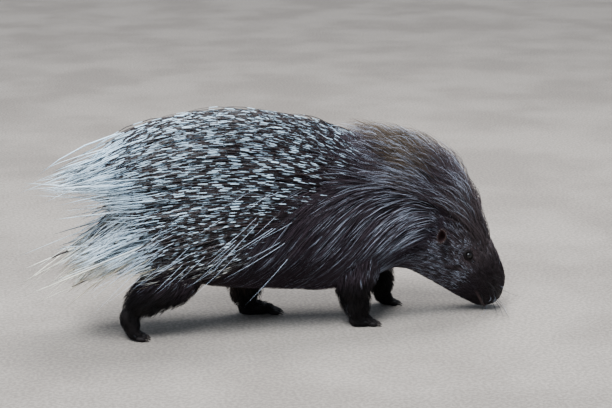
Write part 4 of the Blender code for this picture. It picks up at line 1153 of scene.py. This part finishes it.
def makeEars():
    rng = np.random.default_rng(37)
    places = np.linspace(0, len(ears["profile"]) - 1, 51)[:, None]
    for word, side in bothSides:
        surface = earSurface(side)
        cup = shell("ear_skin_" + word, surface(places, fullTurn(ears["sides"])), earLook)
        finishPiece(cup, "skin", "ear_" + word)
        root, offset, _ = clumped(rng, surface, earFur["places"], (-math.pi, math.pi), earFur["clumps"],
                                  earFur["each"], earFur["spread"])
        count = root.shape[1]
        length = earFur["length"] * rng.uniform(0.6, 1.3, count)
        rise = earFur["rise"] * rng.uniform(0.3, 1.2, count)
        drift = earFur["drift"] * rng.normal(0, 1, count)
        path, out = furPaths(surface, root, offset, length, rise, 1, drift, earFur["rings"],
                             earFur["pull"], (0, earFur["last"]), earFur["sunk"])
        tint = np.array(earFur["tint"]) * rng.uniform(0.6, 1.3, (count, 1))
        widths = taperWidths(earFur["width"] * rng.uniform(0.7, 1.2, count), earFur["rings"])
        strands("earFur_" + word, "head_fur", furLook, path, widths, out, 3, roundUv(root[0] / 5, root[1]),
                rng.uniform(0, 1, count), tint, np.full(count, 0.1))


makeEars()


# Nose pad: a broad oval with two dents for the nostrils and a groove down its middle. A nostril lies one
# way from the middle and is long another way; depths are shares of the radius.
nose = {
    "place": (0.4450, 0.0, 0.0225), "radii": (0.0070, 0.0100, 0.0075), "rings": 60, "sides": 96,
    "nostril": (0.6, 0.75, -0.25), "slant": (0.3, 0.8, 0.9), "wide": 0.012, "long": 0.12, "dent": 0.42,
    "groove": 0.06, "grooveWide": 0.09,
}


def makeNose():
    ball = sphereGrid(nose["rings"], nose["sides"])
    dent = 0
    for side in (-1, 1):
        away = ball - unit(np.array(nose["nostril"]) * (1, side, 1))
        along = (away * unit(np.array(nose["slant"]) * (1, side, 1))).sum(-1)
        off = np.linalg.norm(away, axis=-1) ** 2 - along**2
        dent = dent + np.exp(-off / nose["wide"] - along**2 / nose["long"])
    groove = np.exp(-(ball[..., 1] / nose["grooveWide"]) ** 2) * fade(ball[..., 0], 0.2, 0.7)
    points = ball * nose["radii"] * (1 - nose["dent"] * dent - nose["groove"] * groove)[..., None]
    finishPiece(shell("nose_pad", np.array(nose["place"]) + points, noseLook), "skin")


makeNose()


# Lips: an upper and a lower roll on both sides of the mouth's line, with the slit between them.
mouth = {
    "stations": (13.3, 14.2, 15.1, 15.8), "turns": (112, 122, 140, 172), "radius": 0.0015, "apart": 0.0012,
    "middle": (0.40, 0, 0.045), "sides": 24, "out": 0.0012,
}


def makeLips():
    stations, turns = np.array(mouth["stations"]), np.radians(mouth["turns"])
    half = np.stack([stations, turns], 1)
    rows = curveThrough(np.concatenate([half, np.stack([stations, 2 * math.pi - turns], 1)[::-1]]), 10)
    u = np.linspace(0, 1, len(rows))
    swell = mouth["radius"] * np.clip(np.sin(math.pi * u), 0.05, 1) ** 0.35
    for name, side in (("lip_upper", -1), ("lip_lower", 1)):
        path = trunkPoint(rows[:, 0], rows[:, 1], mouth["out"])
        ahead = unit(np.gradient(path, axis=0))
        out = unit(path - np.array(mouth["middle"]))
        over = unit(np.cross(ahead, out))
        over = over * np.sign(over[:, 2:3].mean()) * -side
        path = path + over * mouth["apart"]
        turns = fullTurn(mouth["sides"])
        ring = (
            path[:, None] + over[:, None] * (swell[:, None] * np.cos(turns))[..., None]
            + np.cross(over, ahead)[:, None] * (swell[:, None] * np.sin(turns))[..., None]
        )
        finishPiece(shell(name, ring, lipLook), "skin")


makeLips()


# Claws: curved cones, deeper than wide, dropping towards their tips. All but the tip's own thickness and
# the width's share of the depth are shares of the toe's radius.
claws = {"root": 0.3, "drop": 0.5, "bow": 0.9, "thick": 0.46, "wide": 0.8, "tip": 0.00025}


def makeClaws():
    points, faces, count = [], [], 0
    for side, _, sole, kind, reach in legTable.values():
        toes = toeTable[kind]
        radius = toes["radius"]
        for root, tip in toeRows(side, sole, toes, reach):
            ahead = unit(tip - root)
            base = tip - ahead * radius * claws["root"]
            end = tip + ahead * toes["claw"] - np.array((0, 0, radius * claws["drop"]))
            u = np.linspace(0, 1, 12)
            line = base + np.outer(u, end - base) + np.outer(u * (1 - u), (0, 0, radius * claws["bow"]))
            thick = radius * claws["thick"] * (1 - u**1.7) + claws["tip"]
            surface = limbSurface(np.column_stack([line, thick, thick * claws["wide"]]))
            rings = surface(np.linspace(0, len(u) - 1, 23)[:, None], fullTurn(16))
            keepAbove(rings, 0.0004)
            some, quads = closedGrid(rings)
            faces += [[k + count for k in quad] for quad in outward(some, quads)]
            points.append(some)
            count += len(some)
    finishPiece(makeMesh("claws", np.concatenate(points), faces, clawLook), "leg_fur")


makeClaws()


# Floor: packed sand, warm grey, mottled at two sizes with small grit in the bump.
def makeFloor():
    made, tree, shader = newMaterial("sand", 0.9)
    broad, grit = noise(tree, 3.0, 5.0), noise(tree, 160.0, 4.0)
    patch, grain = ramp(tree, broad, 0.35, 0.65), ramp(tree, grit, 0.40, 0.62)
    sand = mixColour(tree, patch, (0.215, 0.192, 0.170), (0.285, 0.258, 0.230))
    speck = mixColour(tree, grain, (0.80, 0.78, 0.76), (1.12, 1.10, 1.08))
    tree.links.new(mixColour(tree, 1.0, sand, speck, "MULTIPLY"), shader.inputs["Base Color"])
    addBump(tree, shader, grit, 0.6, 0.004)
    corners = np.array([(-20, -20, 0), (20, -20, 0), (20, 30, 0), (-20, 30, 0)]) - shift
    floor = makeMesh("floor", corners, [(0, 1, 2, 3)], made)


makeFloor()


# aimed: a lamp or camera that looks a given way.
def aimed(name, data, way):
    made = bpy.data.objects.new(name, data)
    made.rotation_mode = "QUATERNION"
    made.rotation_quaternion = way.to_track_quat("-Z", "Y")
    bpy.context.scene.collection.objects.link(made)
    return made


# Light: a pale sky all round, two broad soft windows, one high behind the animal's right side and one
# above, and a high soft sun. Windows: name, place, size, power, colour; both look at one point.
windows = (
    ("sky_window", (-0.8, -1.6, 2.6), 1.4, 130, (0.86, 0.93, 1.0)),
    ("sky_top", (0.5, 0.9, 3.0), 1.6, 140, (0.95, 0.97, 1.0)),
)
windowAim = (0, 0, 0.15)
skyColour, skyStrength = (0.72, 0.84, 1.0, 1), 0.75
sun = {"power": 3.0, "spread": math.radians(24), "way": (0.25, 0.35, -1.0)}


def makeLight():
    world = bpy.data.worlds.new("sky")
    world.use_nodes = True
    back = world.node_tree.nodes["Background"]
    back.inputs["Color"].default_value = skyColour
    back.inputs["Strength"].default_value = skyStrength
    bpy.context.scene.world = world
    for name, place, size, power, colour in windows:
        lamp = bpy.data.lights.new(name, "AREA")
        lamp.shape = "DISK"
        lamp.size = size
        lamp.energy = power
        lamp.color = colour
        made = aimed(name, lamp, Vector(windowAim) - Vector(place))
        made.location = place
    lamp = bpy.data.lights.new("high_sun", "SUN")
    lamp.energy = sun["power"]
    lamp.angle = sun["spread"]
    aimed("high_sun", lamp, Vector(sun["way"]))


makeLight()


# Camera: the photo's angle, from the right and a little behind, looking down.
camera = {"azimuth": -12, "elevation": 14, "distance": 3.2, "lens": 99, "aim": (0.0603, 0, 0.2288)}


def makeCamera():
    a, e = math.radians(camera["azimuth"]), math.radians(camera["elevation"])
    back = Vector((math.sin(a) * math.cos(e), -math.cos(a) * math.cos(e), math.sin(e)))
    made = aimed("camera", bpy.data.cameras.new("camera"), -back)
    made.data.lens = camera["lens"]
    made.location = Vector(np.array(camera["aim"]) + shift) + back * camera["distance"]
    bpy.context.scene.camera = made


makeCamera()
